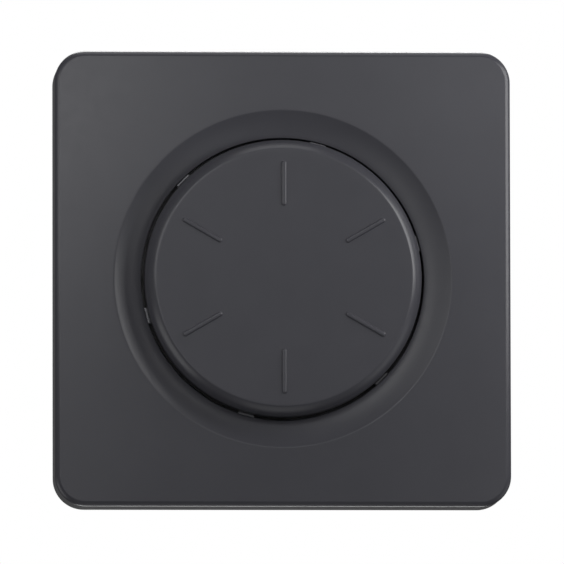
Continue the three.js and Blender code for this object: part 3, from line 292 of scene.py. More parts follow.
def punched_sheet(outline, holes, low, high, edge):
    """A flat sheet between two levels. Every loop is a wall with its two rims eased by edge at 45 degrees,
    and each face of the sheet is filled between the outline and the holes."""
    walls, faces, count = [], [], 0
    rims = {low: [], high: []}
    for number, loop in enumerate([outline, *holes]):
        eased = inset_loop(loop, edge if number == 0 else -edge)
        lower = [at_level(eased, low), at_level(loop, low + edge)]
        upper = [at_level(loop, high - edge), at_level(eased, high)]
        columns = len(loop)
        quads = np.array(grid_faces(4, columns)) + count
        faces += (quads if number == 0 else quads[:, ::-1]).tolist()
        rims[low].append(np.arange(columns) + count)
        rims[high].append(np.arange(columns) + count + 3 * columns)
        walls += lower + upper
        count += 4 * columns
    points = np.vstack(walls)
    for level, loops in rims.items():
        index = np.concatenate(loops)
        fill = np.array(tessellate_polygon([[Vector(points[i]) for i in loop] for loop in loops]))
        corner = points[index[fill]]
        side = np.cross(corner[:, 1] - corner[:, 0], corner[:, 2] - corner[:, 0])[:, 2]
        wanted = 1.0 if level == high else -1.0
        fill[side * wanted < 0] = fill[side * wanted < 0][:, ::-1]
        faces += index[fill].tolist()
    return points, faces


def eased_rod(radius, low, high, edge, columns=40):
    """A round bar whose two rims are eased by edge at 45 degrees."""
    return revolved([
        (0.0, low), (radius - edge, low), (radius, low + edge),
        (radius, high - edge), (radius - edge, high), (0.0, high),
    ], columns=columns)


def threaded_rod(radius, low, high, pitch, depth, columns=32):
    """A round bar with a screw thread: radius less depth times the distance from the crest, which is a
    triangle wave of out / pitch minus angle / full turn. At both ends the thread dies away to its root."""
    rows = int((high - low) / pitch * 6) + 1
    out = np.linspace(low, high, rows)[:, None]
    angle = np.linspace(0.0, 2.0 * math.pi, columns, endpoint=False)[None, :]
    phase = (out / pitch - angle / (2.0 * math.pi)) % 1.0
    fade = np.clip(np.minimum(out - low, high - out) / pitch, 0.0, 1.0)
    reach = radius - depth * (1.0 - fade * (1.0 - np.abs(2.0 * phase - 1.0)))
    level = np.broadcast_to(out, reach.shape)
    grid = np.stack((reach * np.cos(angle), reach * np.sin(angle), level), axis=-1)
    ends = [np.tile((0.0, 0.0, low), (columns, 1)), *grid, np.tile((0.0, 0.0, high), (columns, 1))]
    return np.vstack(ends), grid_faces(rows + 2, columns)


def block(x, up, out):
    """A box between three pairs of (low, high)."""
    corners = np.array(((x[0], up[0]), (x[1], up[0]), (x[1], up[1]), (x[0], up[1])), float)
    return stacked([at_level(corners, out[0]), at_level(corners, out[1])])


# ---- pieces ----
def outward_volume(points, faces):
    """Six times the volume inside the faces, by the sum of the triple products of their fans of triangles."""
    total = 0.0
    for size in {len(face) for face in faces}:
        corner = points[np.array([face for face in faces if len(face) == size])]
        for second in range(1, size - 1):
            cross = np.cross(corner[:, second], corner[:, second + 1])
            total += np.einsum("ij,ij->", corner[:, 0], cross)
    return total


def make_piece(name, solid, body, node, slot, sharp=30.0):
    """A solid as a mesh object in its slot's finish, which rides on a body and stands for a CAD node. Edges
    that turn by more than sharp, in degrees, stay crisp."""
    points, faces = solid
    points = row_frame(points)
    if outward_volume(points, faces) < 0.0:
        faces = [face[::-1] for face in faces]
    mesh = bpy.data.meshes.new(name)
    mesh.from_pydata(points.tolist(), [], faces)
    work = bmesh.new()
    work.from_mesh(mesh)
    bmesh.ops.remove_doubles(work, verts=work.verts, dist=2e-7)
    work.to_mesh(mesh)
    work.free()
    mesh.polygons.foreach_set("use_smooth", np.ones(len(mesh.polygons), bool))
    mesh.set_sharp_from_angle(angle=math.radians(sharp))
    mesh.materials.append(FINISHES[slot])
    piece = bpy.data.objects.new(name, mesh)
    bpy.context.scene.collection.objects.link(piece)
    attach(piece, body)
    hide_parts(node)
    return piece


def carved(solid, cutters):
    """A solid with others cut out of it by Blender's exact boolean, as points and faces."""
    def loose(part):
        points, faces = part
        if outward_volume(points, faces) < 0.0:
            faces = [face[::-1] for face in faces]
        mesh = bpy.data.meshes.new("blank")
        mesh.from_pydata(points.tolist(), [], faces)
        work = bmesh.new()
        work.from_mesh(mesh)
        bmesh.ops.remove_doubles(work, verts=work.verts, dist=2e-4)
        work.to_mesh(mesh)
        work.free()
        thing = bpy.data.objects.new("blank", mesh)
        bpy.context.scene.collection.objects.link(thing)
        return thing
    blank = loose(solid)
    tools = [loose(cutter) for cutter in cutters]
    for tool in tools:
        cut = blank.modifiers.new("cut", "BOOLEAN")
        cut.operation = "DIFFERENCE"
        cut.solver = "EXACT"
        cut.object = tool
    graph = bpy.context.evaluated_depsgraph_get()
    result = bpy.data.meshes.new_from_object(blank.evaluated_get(graph))
    points = np.empty(len(result.vertices) * 3)
    result.vertices.foreach_get("co", points)
    faces = [list(polygon.vertices) for polygon in result.polygons]
    for thing in [blank, *tools]:
        bpy.data.meshes.remove(thing.data)
    bpy.data.meshes.remove(result)
    return points.reshape(-1, 3), faces


# ---- materials ----
def linear(hex_colour):
    """sRGB hex to linear red, green, blue and alpha: a line near black, and a 2.4 power above it."""
    code = np.array([int(hex_colour[i:i + 2], 16) for i in (1, 3, 5)]) / 255.0
    low, high = code / 12.92, ((code + 0.055) / 1.055) ** 2.4
    return (*np.where(code <= 0.04045, low, high), 1.0)


def add_node(tree, kind, settings=None, inputs=None):
    """Adds a node; a setting is set on it, and an input is a value or the output socket that feeds it."""
    node = tree.nodes.new(kind)
    for key, value in (settings or {}).items():
        setattr(node, key, value)
    for key, value in (inputs or {}).items():
        if isinstance(value, bpy.types.NodeSocket):
            tree.links.new(value, node.inputs[key])
        else:
            node.inputs[key].default_value = value
    return node


def grain_noise(tree, size, detail=2.0, stretch=(1.0, 1.0, 1.0)):
    """Noise over Object coordinates whose features are about size millimetres, stretched along the axes."""
    place = add_node(tree, "ShaderNodeTexCoord")
    scaled = add_node(tree, "ShaderNodeMapping", {"vector_type": "POINT"},
                      {"Vector": place.outputs["Object"], "Scale": stretch})
    return add_node(tree, "ShaderNodeTexNoise", None, {
        "Vector": scaled.outputs[0], "Scale": 1.0 / (size * MM), "Detail": detail, "Roughness": 0.55})


def spread(tree, noise, low, high):
    """A noise's middle range mapped to values between low and high."""
    ramp = add_node(tree, "ShaderNodeMapRange", None, {
        "Value": noise.outputs["Fac"], "From Min": 0.3, "From Max": 0.7, "To Min": low, "To Max": high})
    return ramp.outputs["Result"]


def base_material(name, roughness, metallic=0.0, ior=1.5):
    """An empty node material with a Principled shader, and the shader itself."""
    material = bpy.data.materials.new(name)
    material.use_nodes = True
    tree = material.node_tree
    tree.nodes.clear()
    shader = add_node(tree, "ShaderNodeBsdfPrincipled", None, {
        "Roughness": roughness, "Metallic": metallic, "IOR": ior})
    add_node(tree, "ShaderNodeOutputMaterial", None, {"Surface": shader.outputs[0]})
    return material, tree, shader


def two_tones(tree, shader, noise, dark, light):
    """Colour that wanders between two tones with a noise."""
    mix = add_node(tree, "ShaderNodeMix", {"data_type": "RGBA"}, {0: spread(tree, noise, 0.0, 1.0)})
    mix.inputs[6].default_value = linear(dark)
    mix.inputs[7].default_value = linear(light)
    tree.links.new(mix.outputs[2], shader.inputs["Base Color"])


def relief(tree, shader, noise, height):
    """Bump from a noise, as a height in millimetres."""
    bump = add_node(tree, "ShaderNodeBump", None,
                    {"Height": noise.outputs["Fac"], "Distance": height * MM, "Strength": 1.0})
    tree.links.new(bump.outputs[0], shader.inputs["Normal"])


def plastic(name, dark, light, grain, height, rough, ior=1.5):
    """Moulded plastic: a spark-eroded grain of its size and height, and slow drifts of tone and gloss."""
    material, tree, shader = base_material(name, sum(rough) / 2.0, ior=ior)
    cloud = grain_noise(tree, 9.0)
    two_tones(tree, shader, cloud, dark, light)
    tree.links.new(spread(tree, grain_noise(tree, 1.6), *rough), shader.inputs["Roughness"])
    relief(tree, shader, grain_noise(tree, grain, 3.0), height)
    return material


def metal(name, dark, light, rough, stretch=(1.0, 1.0, 1.0), size=1.2, height=0.0008):
    """Bare or plated metal: tone and gloss drift along the rolling or turning direction."""
    material, tree, shader = base_material(name, sum(rough) / 2.0, metallic=1.0)
    streaks = grain_noise(tree, size, 4.0, stretch)
    two_tones(tree, shader, streaks, dark, light)
    tree.links.new(spread(tree, streaks, *rough), shader.inputs["Roughness"])
    relief(tree, shader, streaks, height)
    return material


def anthracite_abs():
    """ABS moulded in a finely spark-eroded tool: matt, with a broad soft sheen and a grain of 0.3 mm."""
    return plastic("anthracite matt moulded ABS", "#424248", "#44444a", 0.3, 0.0035, (0.28, 0.32))


def black_polyamide():
    """Glass-filled polyamide: near black, slightly glossy, with a faint flow texture."""
    return plastic("black moulded polyamide", "#161618", "#1f1f21", 0.6, 0.004, (0.35, 0.5))


def grey_polycarbonate():
    """Polycarbonate housing: light grey, satin, with a grain of 0.5 mm."""
    return plastic("grey moulded polycarbonate", "#96999b", "#a0a3a4", 0.5, 0.006, (0.38, 0.5), 1.58)


def white_acetal():
    """Turned acetal: waxy off-white."""
    return plastic("white acetal", "#dcdad1", "#e6e4dc", 0.8, 0.002, (0.3, 0.42), 1.48)


def zinc_plated_steel():
    """Zinc-plated, blue-passivated steel strip: cool and softly streaked along its rolling direction."""
    return metal("zinc-plated steel", "#b0b5b9", "#bfc4c6", (0.3, 0.38), (0.25, 1.0, 1.0))


def bright_spring_steel():
    """Rolled spring strip: bright and smooth."""
    return metal("bright spring steel", "#b9bdc2", "#d2d5d8", (0.14, 0.26))


def phosphated_spring_steel():
    """Phosphated spring strip: dark grey with a dull gleam."""
    return metal("phosphated spring steel", "#6c6c70", "#808084", (0.34, 0.46), height=0.001)


def mill_aluminium():
    """Mill-finish aluminium sheet, streaked upwards."""
    return metal("mill-finish aluminium", "#c4c7c9", "#d6d8da", (0.3, 0.45), (1.0, 1.0, 0.2))


def turned_brass():
    """Free-cutting brass, turned."""
    return metal("turned brass", "#b98f45", "#cfa75a", (0.22, 0.36))


def bare_copper():
    """Copper strip and enamelled winding wire."""
    return metal("enamelled copper", "#9c4f27", "#b9673a", (0.25, 0.4))


def sintered_ferrite():
    """Sintered iron powder: dark, dull and finely speckled."""
    return plastic("sintered ferrite", "#2b2a29", "#3a3836", 0.25, 0.01, (0.6, 0.75))


def glass_laminate():
    """Glass-fibre board under solder mask."""
    return plastic("glass-fibre laminate", "#7f6a2f", "#8f783a", 0.7, 0.004, (0.35, 0.5))


def carbon_track():
    """Paper laminate with a printed carbon track."""
    return plastic("carbon-track laminate", "#4b3524", "#5a412c", 0.4, 0.004, (0.5, 0.65))


def red_resin():
    """Potted film capacitor case."""
    return plastic("red epoxy case", "#8f2c19", "#a03420", 0.8, 0.003, (0.25, 0.38))


def blue_resin():
    """Dipped epoxy disc: glossy and slightly uneven."""
    return plastic("blue dipped epoxy", "#27548c", "#31629c", 1.4, 0.02, (0.18, 0.3))


def resistor_lacquer():
    """Beige resistor lacquer."""
    return plastic("beige lacquer", "#b8a678", "#c9b88c", 0.9, 0.01, (0.3, 0.45))


def shrunk_sleeve():
    """Dark blue PVC sleeve shrunk on a can."""
    return plastic("dark blue shrunk sleeve", "#1d2a48", "#243353", 1.2, 0.004, (0.2, 0.32))


FINISHES = {
    "anthracite_plastic": anthracite_abs(),
    "black_plastic": black_polyamide(),
    "grey_plastic": grey_polycarbonate(),
    "white_plastic": white_acetal(),
    "zinc_steel": zinc_plated_steel(),
    "spring_steel": bright_spring_steel(),
    "aluminium_sheet": mill_aluminium(),
    "brass_parts": turned_brass(),
    "copper_parts": bare_copper(),
    "ferrite": sintered_ferrite(),
    "board_laminate": glass_laminate(),
    "carbon_laminate": carbon_track(),
    "red_epoxy": red_resin(),
    "blue_epoxy": blue_resin(),
    "resistor_lacquer": resistor_lacquer(),
    "capacitor_sleeve": shrunk_sleeve(),
}


def finish_cad_nodes():
    """Gives every CAD node the finish of its slot, those that fine pieces replace included."""
    for entry in frame["record"]["subparts"]:
        node = frame["nodes"][entry["node"]]
        node.data.materials.clear()
        node.data.materials.append(FINISHES[entry["material_slot"]])
    frame["nodes"]["retaining_ring"].data.materials[0] = phosphated_spring_steel()


# ---- cover frame ----
def quarter_round(steps):
    """Sine and one minus cosine over a quarter turn, for a rounded edge."""
    turn = np.linspace(0.0, math.pi / 2.0, steps + 1)
    return list(zip(np.sin(turn), 1.0 - np.cos(turn)))


def edge_band():
    """Inset and drop of the band round the face, from the crease to the side: an arc that starts at a lean
    and stands upright at the side, scaled so that its inset is that of the edge."""
    lean = np.linspace(EDGE_LEAN, math.pi / 2.0, 9)
    inset = (1.0 - np.sin(lean)) / (1.0 - math.sin(lean[0]))
    drop = (math.cos(lean[0]) - np.cos(lean)) / math.cos(lean[0])
    return [(FRAME_EDGE + 0.1, 0.0), *zip(FRAME_EDGE * inset, EDGE_DROP * drop)]


def dish_rise(share):
    """Height of the dish over its floor at a share of its width: part in line with the share, part with its
    square."""
    return DISH_DEPTH * (DISH_SLOPE * share + (1.0 - DISH_SLOPE) * share ** 2)


def cover_frame():
    """One closed skin of loops: out of the well, over the dish, across the face to the rounded edge, down the
    side, under the rim and back inside. A round loop takes its angles from the square outline's points."""
    square = rounded_rectangle(FRAME_HIGH[0], FRAME_HIGH[1], FRAME_CORNER, 64, 20)
    angle = np.arctan2(square[:, 1], square[:, 0])

    def circle(radius):
        return radius * np.column_stack((np.cos(angle), np.sin(angle)))

    rim = 0.12
    start = 1.0 - DISH_EASE / DISH_WIDTH
    loops = [at_level(circle(WELL_RADIUS - LEDGE_WIDTH), LEDGE_BACK),
             at_level(circle(WELL_RADIUS - LEDGE_WIDTH), LEDGE_BACK + LEDGE_THICK),
             at_level(circle(WELL_RADIUS), LEDGE_BACK + LEDGE_THICK)]
    loops += [at_level(circle(WELL_RADIUS + rim * fall), DISH_FLOOR - rim + rim * rise)
              for rise, fall in quarter_round(4)]
    for share in np.linspace(rim / DISH_WIDTH, start, 26):
        loops.append(at_level(circle(WELL_RADIUS + DISH_WIDTH * share), DISH_FLOOR + dish_rise(share)))
    below = DISH_DEPTH - dish_rise(start)
    run = 2.0 * below * DISH_WIDTH / (DISH_DEPTH * (2.0 - DISH_SLOPE))
    end = DISH_WIDTH * start + run
    for along in np.linspace(0.0, 1.0, 7)[1:]:
        level = FRAME_FRONT - below * (1.0 - along) ** 2
        loops.append(at_level(circle(WELL_RADIUS + end - run * (1.0 - along)), level))
    dish_hold, edge_hold, chamfer = 0.2, 0.6, 0.4
    inner_square = inset_loop(square, FRAME_EDGE + edge_hold)
    inner_circle = circle(WELL_RADIUS + end + dish_hold)
    for share in np.linspace(0.0, 1.0, 9):
        loops.append(at_level(inner_circle * (1.0 - share) + inner_square * share, FRAME_FRONT))
    loops += [at_level(inset_loop(square, inset), FRAME_FRONT - drop) for inset, drop in edge_band()]
    foot = 0.15
    inside = inset_loop(square, FRAME_WALL)
    loops += [
        at_level(square, foot),
        at_level(inset_loop(square, foot), 0.0),
        at_level(inset_loop(square, FRAME_WALL - foot), 0.0),
        at_level(inside, foot),
    ]
    back = FRAME_FRONT - FRAME_WALL
    collar = WELL_RADIUS + COLLAR_WALL
    loops += [
        at_level(inside, back - chamfer),
        at_level(inset_loop(square, FRAME_WALL + chamfer), back),
        at_level(circle(DISH_RADIUS + COLLAR_WALL), back),
        at_level(circle(collar), DISH_FLOOR - FRAME_WALL),
        at_level(circle(collar), LEDGE_BACK),
    ]
    return joined(stacked(loops, ring=True), *locating_ribs())


def locating_ribs():
    """Two ribs inside each side that centre the frame on the support plate."""
    inner, outer = PLATE_HIGH[0] + RIB_CLEARANCE, FRAME_HIGH[0] - FRAME_WALL / 2.0
    foot = 0.3
    levels = (foot, FRAME_FRONT - FRAME_WALL + foot)
    bar = block((inner, outer), (-RIB_HALF_THICK, RIB_HALF_THICK), levels)
    ribs = []
    for side in range(4):
        for offset in (-RIB_OFFSET, RIB_OFFSET):
            ribs.append(turned_round(moved(bar, up=offset), side * math.pi / 2.0))
    return ribs


# ---- knob ----
def knob_angles():
    """Angles round the knob, close together across each ridge and wider apart between them."""
    middle = RIDGE_INNER + RIDGE_LENGTH / 2.0
    near = np.linspace(-RIDGE_WIDTH, RIDGE_WIDTH, 37) / middle
    pitch = 2.0 * math.pi / RIDGE_COUNT
    wide = np.linspace(near[-1], pitch + near[0], 26)[1:-1]
    span = math.pi / 2.0 + np.concatenate((near, wide))
    return np.concatenate([span + ridge * pitch for ridge in range(RIDGE_COUNT)])


def face_radii():
    """Radii of the knob's face from its rim to its middle, close together at both ends of the ridges."""
    outer_end, inner_end = RIDGE_INNER + RIDGE_LENGTH, RIDGE_INNER
    rim, past, within = 0.12, 0.15, 0.8
    return np.concatenate((
        np.linspace(FACE_RADIUS - rim, outer_end + past, 8)[:-1],
        np.linspace(outer_end + past, outer_end - within, 17),
        np.linspace(outer_end - within, inner_end + within, 12)[1:-1],
        np.linspace(inner_end + within, inner_end - past, 17),
        np.linspace(inner_end - past, 0.0, 14)[1:],
    ))


def ridge_height(radius, angle):
    """Height of the six ridges: one less the fourth power of the distance to a ridge's middle line over half
    its width, so each is a bar with a flat crown, round shoulders and rounded ends."""
    pitch = 2.0 * math.pi / RIDGE_COUNT
    off = (angle - math.pi / 2.0 + pitch / 2.0) % pitch - pitch / 2.0
    half = RIDGE_WIDTH / 2.0
    along, lateral = radius * np.cos(off), radius * np.sin(off)
    short = RIDGE_INNER + half - along
    past = along - (RIDGE_INNER + RIDGE_LENGTH - half)
    distance = np.hypot(lateral, np.maximum(np.maximum(short, past), 0.0)) / half
    return RIDGE_HEIGHT * np.clip(1.0 - distance ** 4, 0.0, 1.0)


def knob_cap():
    """Skirt, elliptical shoulder, crisp rim and shallow bowl of a face, carried round the axis, with the
    hollow and the hub inside. The face is radius squared times the sag, plus the ridges."""
    angles = knob_angles()
    across = SHOULDER_WIDTH / (1.0 - math.cos(SHOULDER_TURN))
    along = SHOULDER_HEIGHT / math.sin(SHOULDER_TURN)
    start = KNOB_FRONT - SHOULDER_HEIGHT
    short_of_rim, ease, rim_in, rim_back = 0.985, 0.15, 0.03, 0.012
    turn = np.linspace(0.0, SHOULDER_TURN * short_of_rim, 16)
    hub_end = KNOB_FRONT - FACE_SAG - KNOB_TOP
    socket, socket_end = SHAFT_RADIUS + RUN_GAP, hub_end - 0.2
    bore = KNOB_RADIUS - KNOB_WALL
    profile = [
        (0.0, socket_end), (socket, socket_end), (socket, HUB_BACK),
        (HUB_RADIUS, HUB_BACK), (HUB_RADIUS, hub_end),
        (bore - SHOULDER_WIDTH, hub_end), (bore, hub_end - SHOULDER_WIDTH), (bore, SKIRT_BACK),
        (KNOB_RADIUS - ease, SKIRT_BACK), (KNOB_RADIUS, SKIRT_BACK + ease),
    ]
    profile += [(KNOB_RADIUS - across * (1.0 - math.cos(t)), start + along * math.sin(t)) for t in turn]
    profile += [(FACE_RADIUS - rim_in, KNOB_FRONT - rim_back)]
    points, _ = revolved(profile, angles)
    radius, angle = np.meshgrid(face_radii(), angles, indexing="ij")
    out = KNOB_FRONT - FACE_SAG * (1.0 - (radius / FACE_RADIUS) ** 2) + ridge_height(radius, angle)
    face = np.stack((radius * np.cos(angle), radius * np.sin(angle), out), axis=-1).reshape(-1, 3)
    rows = len(profile) + len(face_radii())
    return np.vstack((points, face)), grid_faces(rows, len(angles))


# ---- spring of the push switch ----
def return_spring():
    """A round wire swept along a helix: the middle line turns and climbs in line with its share of the
    turns, and the wire's section is a circle across it, with a cap at each end."""
    low, high = node_span("return_spring")
    sides, steps = 12, 48
    share = np.linspace(0.0, 1.0, steps * SPRING_TURNS + 1)
    turn = 2.0 * math.pi * SPRING_TURNS * share
    climb = low[2] + SPRING_WIRE + (high[2] - low[2] - 2.0 * SPRING_WIRE) * share
    radial = np.column_stack((np.cos(turn), np.sin(turn), np.zeros_like(turn)))
    middle = SPRING_RADIUS * radial + climb[:, None] * (0.0, 0.0, 1.0)
    across = np.cross(np.gradient(middle, axis=0), radial)
    across /= np.linalg.norm(across, axis=1)[:, None]
    angle = np.linspace(0.0, 2.0 * math.pi, sides, endpoint=False)[None, :, None]
    section = np.cos(angle) * radial[:, None, :] + np.sin(angle) * across[:, None, :]
    points = (middle[:, None, :] + SPRING_WIRE * section).reshape(-1, 3)
    ends = [list(range(sides)), list(range(len(points) - sides, len(points)))]
    return points, grid_faces(len(share), sides) + ends


# ---- support plate, claws and screws ----
def shared_holes():
    """Holes for the bush, the trimmer and the module screws."""
    x, up, radius = TRIMMER_HOLE
    holes = [circle_loop(BUSH_HOLE, columns=64), circle_loop(radius, x, up)]
    return holes + [circle_loop(MODULE_SCREW_HOLE, x, up) for x, up in MODULE_SCREWS]


def claw_ears():
    """Two ears beside each claw, each a tab with a round end that stands back from the plate, with the hole
    for the claw's pin."""
    turn = np.linspace(math.pi, 2.0 * math.pi, 17)
    root = PLATE_HIGH[2] / 2.0
    tip = np.column_stack((EAR_HALF_WIDTH * np.cos(turn), CLAW_PIVOT_OUT + EAR_HALF_WIDTH * np.sin(turn)))
    outline = np.vstack((tip, ((EAR_HALF_WIDTH, root), (-EAR_HALF_WIDTH, root))))
    hole = circle_loop(PIN_HOLE, 0.0, CLAW_PIVOT_OUT, 24)
    ears = []
    for side in (-1, 1):
        for near, far in ((-EAR_FAR, -EAR_NEAR), (EAR_NEAR, EAR_FAR)):
            tab, faces = punched_sheet(outline, [hole], near, far, SHEET_EDGE)
            ears.append((np.column_stack((tab[:, 0] + side * CLAW_PIVOT_X, -tab[:, 2], tab[:, 1])), faces))
    return ears


def support_plate():
    """The punched steel sheet and its claw ears."""
    outline = rounded_rectangle(PLATE_HIGH[0], PLATE_HIGH[1], PLATE_CORNER, 2, 12)
    holes = shared_holes()
    half = BOX_SCREW_SPACING / 2.0
    for side in (-1, 1):
        holes += [slot_loop(side * half, 0.0, True), slot_loop(0.0, side * half, False)]
        holes.append(circle_loop(CLAW_SCREW_HOLE, side * CLAW_SCREW_X, 0.0))
        for level in (-1, 1):
            window = rounded_rectangle(WINDOW_LENGTH / 2.0, WINDOW_WIDTH / 2.0, 0.4, 1, 4)
            holes.append(window + np.array((side, level)) * WINDOW_OFFSET)
    return joined(punched_sheet(outline, holes, 0.0, PLATE_HIGH[2], SHEET_EDGE), *claw_ears())


def screw_head(radius, seat):
    """A pan head: a cylinder that rounds over in a quarter ellipse, with a driver slot cut across it."""
    top = seat + HEAD_THICK
    ease, half_slot, slot_depth, over = 0.1, 0.4, 0.75, 1.0
    crown = [(radius * (1.0 - 0.3 * fall), seat + HEAD_THICK * (0.45 + 0.55 * rise))
             for rise, fall in quarter_round(6)]
    profile = [(0.0, seat), (radius - ease, seat), (radius, seat + ease), *crown, (0.0, top)]
    slot = block((-radius - over, radius + over), (-half_slot, half_slot), (top - slot_depth, top + over))
    return carved(revolved(profile, columns=48), [slot])


def front_screw(node, shank):
    """A pan-headed machine screw in a CAD screw's box: a thread whose ends die away, a short plain neck
    and the head."""
    low, high = node_span(node)
    x, up = (low[0] + high[0]) / 2.0, (low[1] + high[1]) / 2.0
    seat = high[2] - HEAD_THICK
    thread = threaded_rod(shank, low[2], seat - 0.3, SCREW_PITCH, 0.3 * SCREW_PITCH + 0.05)
    neck = eased_rod(shank - 0.1, seat - 0.6, seat + 0.2, 0.05)
    return moved(joined(thread, neck, screw_head((high[0] - low[0]) / 2.0, seat)), x, up)


def claw_nut(node):
    """A square nut: a block with eased corners and a plain round hole."""
    low, high = node_span(node)
    half_x, half_up = (high[0] - low[0]) / 2.0, (high[1] - low[1]) / 2.0
    corner, edge = 0.35, 0.2
    outline = rounded_rectangle(half_x, half_up, corner, 1, 5)
    nut = punched_sheet(outline, [circle_loop(NUT_HOLE, columns=32)], low[2], high[2], edge)
    return moved(nut, (low[0] + high[0]) / 2.0)


def claw_blade(node, side):
    """A claw: a flat strip with eased ends, three teeth at its tip and a round pin through its top. The
    strip's outline runs up its outer face and back down its inner one."""
    low, high = node_span(node)
    tip, top = low[2], high[2]
    half = CLAW_HALF_THICK
    inner_ease, outer_ease, top_ease = 0.3, 0.2, 0.4
    side_view = np.array((
        (-half, tip + inner_ease), (-half + inner_ease, tip),
        (half - outer_ease, tip), (half, tip + outer_ease),
        (half, top - top_ease), (half - top_ease, top),
        (-half + top_ease, top), (-half, top - top_ease),
    ))
    ends = (-CLAW_HALF_WIDTH, CLAW_HALF_WIDTH)
    strip, faces = stacked([at_level(side_view, end) for end in ends])
    parts = [(np.column_stack((strip[:, 0], -strip[:, 2], strip[:, 1])), faces)]
    sunk, reach, root, crest, tooth_length = half - 0.3, half + CLAW_TOOTH, 1.2, 0.08, 1.0
    for up in (-TOOTH_SPACING, 0.0, TOOTH_SPACING):
        tooth = np.array(((sunk, up - root), (reach, up - crest), (reach, up + crest), (sunk, up + root)))
        parts.append(stacked([at_level(tooth, tip), at_level(tooth, tip + tooth_length)]))
    pin = laid_along(eased_rod(PIN_RADIUS, -EAR_FAR, EAR_FAR, 0.1, 24), "up")
    parts.append(moved(pin, out=CLAW_PIVOT_OUT))
    blade = moved(joined(*parts), CLAW_PIVOT_X)
    return blade if side == "right" else turned_round(blade, math.pi)


# ---- module ----
def barrel_loop(inset, steps=14):
    """A circle with four flats: each arc runs from one flat to the next, and its points are equal steps."""
    radius = MODULE_RADIUS - inset
    low = math.acos((MODULE_HALF[0] - inset) / radius)
    high = math.asin((MODULE_HALF[1] - inset) / radius)
    spans = ((low, high), (math.pi - high, math.pi - low), (math.pi + low, math.pi + high), (-high, -low))
    angle = np.concatenate([np.linspace(start, end, steps + 1) for start, end in spans])
    return radius * np.column_stack((np.cos(angle), np.sin(angle)))


def module_lid():
    """The lid: a sheet with eased rims and the shared holes."""
    return punched_sheet(barrel_loop(0.0), shared_holes(), LID_LOW[2], LID_HIGH[2], LID_EDGE)


def module_housing():
    """The tub: the barrel outline drawn down with a rounded floor edge and a hollow inside it, with wire
    holes in the floor and driver holes in the lower side."""
    front, back = HOUSING_HIGH[2], HOUSING_LOW[2]
    round_edge, lip, mouth, past = 1.2, 0.2, 0.3, 4.0
    loops = [
        at_level(barrel_loop(MODULE_WALL), back + MODULE_WALL),
        at_level(barrel_loop(MODULE_WALL), front),
        at_level(barrel_loop(lip), front),
        at_level(barrel_loop(0.0), front - lip),
    ]
    for rise, fall in quarter_round(8):
        loops.append(at_level(barrel_loop(round_edge * fall), back + round_edge * (1.0 - rise)))
    driver_far, driver_near = -30.0, -22.0
    driver = [(0.0, driver_far), (DRIVER_HOLE, driver_far), (DRIVER_HOLE, driver_near), (0.0, driver_near)]
    funnel = [
        (0.0, back - mouth), (FUNNEL_RADIUS, back - mouth), (WIRE_HOLE, back + mouth),
        (WIRE_HOLE, back + past), (0.0, back + past),
    ]
    cutters = []
    for number in (1, 2, 3):
        low, high = node_span(f"terminal_screw_{number}")
        x, out = (low[0] + high[0]) / 2.0, (low[2] + high[2]) / 2.0
        cutters.append(moved(laid_along(revolved(driver, columns=40), "up"), x, 0.0, out))
        cutters.append(moved(revolved(funnel, columns=40), x, wire_line()))
    return carved(stacked(loops), cutters)


def wire_line():
    """How far up the wire holes lie: level with the wire's place in an open cage."""
    low, high = node_span("terminal_cage_1")
    return high[1] - CAGE_WALL - WIRE_DROP


def build_pieces():
    """Every fine piece, on its body, in place of its CAD node."""
    make_piece("cover_frame_skin", cover_frame(), "root", "cover_frame", "anthracite_plastic", 22.0)
    make_piece("knob_cap_skin", knob_cap(), "knob", "knob_cap", "anthracite_plastic", 24.0)
    make_piece("support_plate_sheet", support_plate(), "root", "support_plate", "zinc_steel")
    make_piece("module_lid_sheet", module_lid(), "root", "module_lid", "grey_plastic")
    make_piece("module_housing_tub", module_housing(), "root", "module_housing", "grey_plastic")
    spring = make_piece("return_spring_coil", return_spring(), "root", "return_spring", "spring_steel")
    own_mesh(spring)
    for side in ("left", "right"):
        screw, nut, claw = f"claw_screw_{side}", f"claw_nut_{side}", f"claw_{side}"
        make_piece(f"{screw}_threaded", front_screw(screw, CLAW_SCREW_SHANK), screw, screw, "zinc_steel")
        make_piece(f"{nut}_square", claw_nut(nut), nut, nut, "zinc_steel")
        make_piece(f"{claw}_toothed", claw_blade(claw, side), claw, claw, "zinc_steel")
    for number in (1, 2):
        screw = f"module_screw_{number}"
        make_piece(f"{screw}_threaded", front_screw(screw, MODULE_SCREW_SHANK), "root", screw, "zinc_steel")


# ---- studio ----
FIELD = 100.0 * MM          # width of the view at the frame's front
CAMERA_DISTANCE = 2.2
CAMERA_AZIMUTH = math.radians(-3.4)
CAMERA_ELEVATION = math.radians(-4.5)
CAMERA_ROLL = math.radians(-0.13)
CAMERA_AIM = Vector((-0.19 * MM, -FRAME_FRONT * MM, -0.62 * MM))
SENSOR = 36.0
FLOOR_LEVEL = -0.19
FLOOR_HALF = 6.0
FLOOR_GLOW = 0.8
AMBIENT = 0.138
WHITE = (1.0, 1.0, 1.0, 1.0)


def direction(azimuth, elevation):
    """Unit vector from the object towards a place at an azimuth, right of the front, and an elevation."""
    level = math.cos(elevation)
    return Vector((math.sin(azimuth) * level, -math.cos(azimuth) * level, math.sin(elevation)))


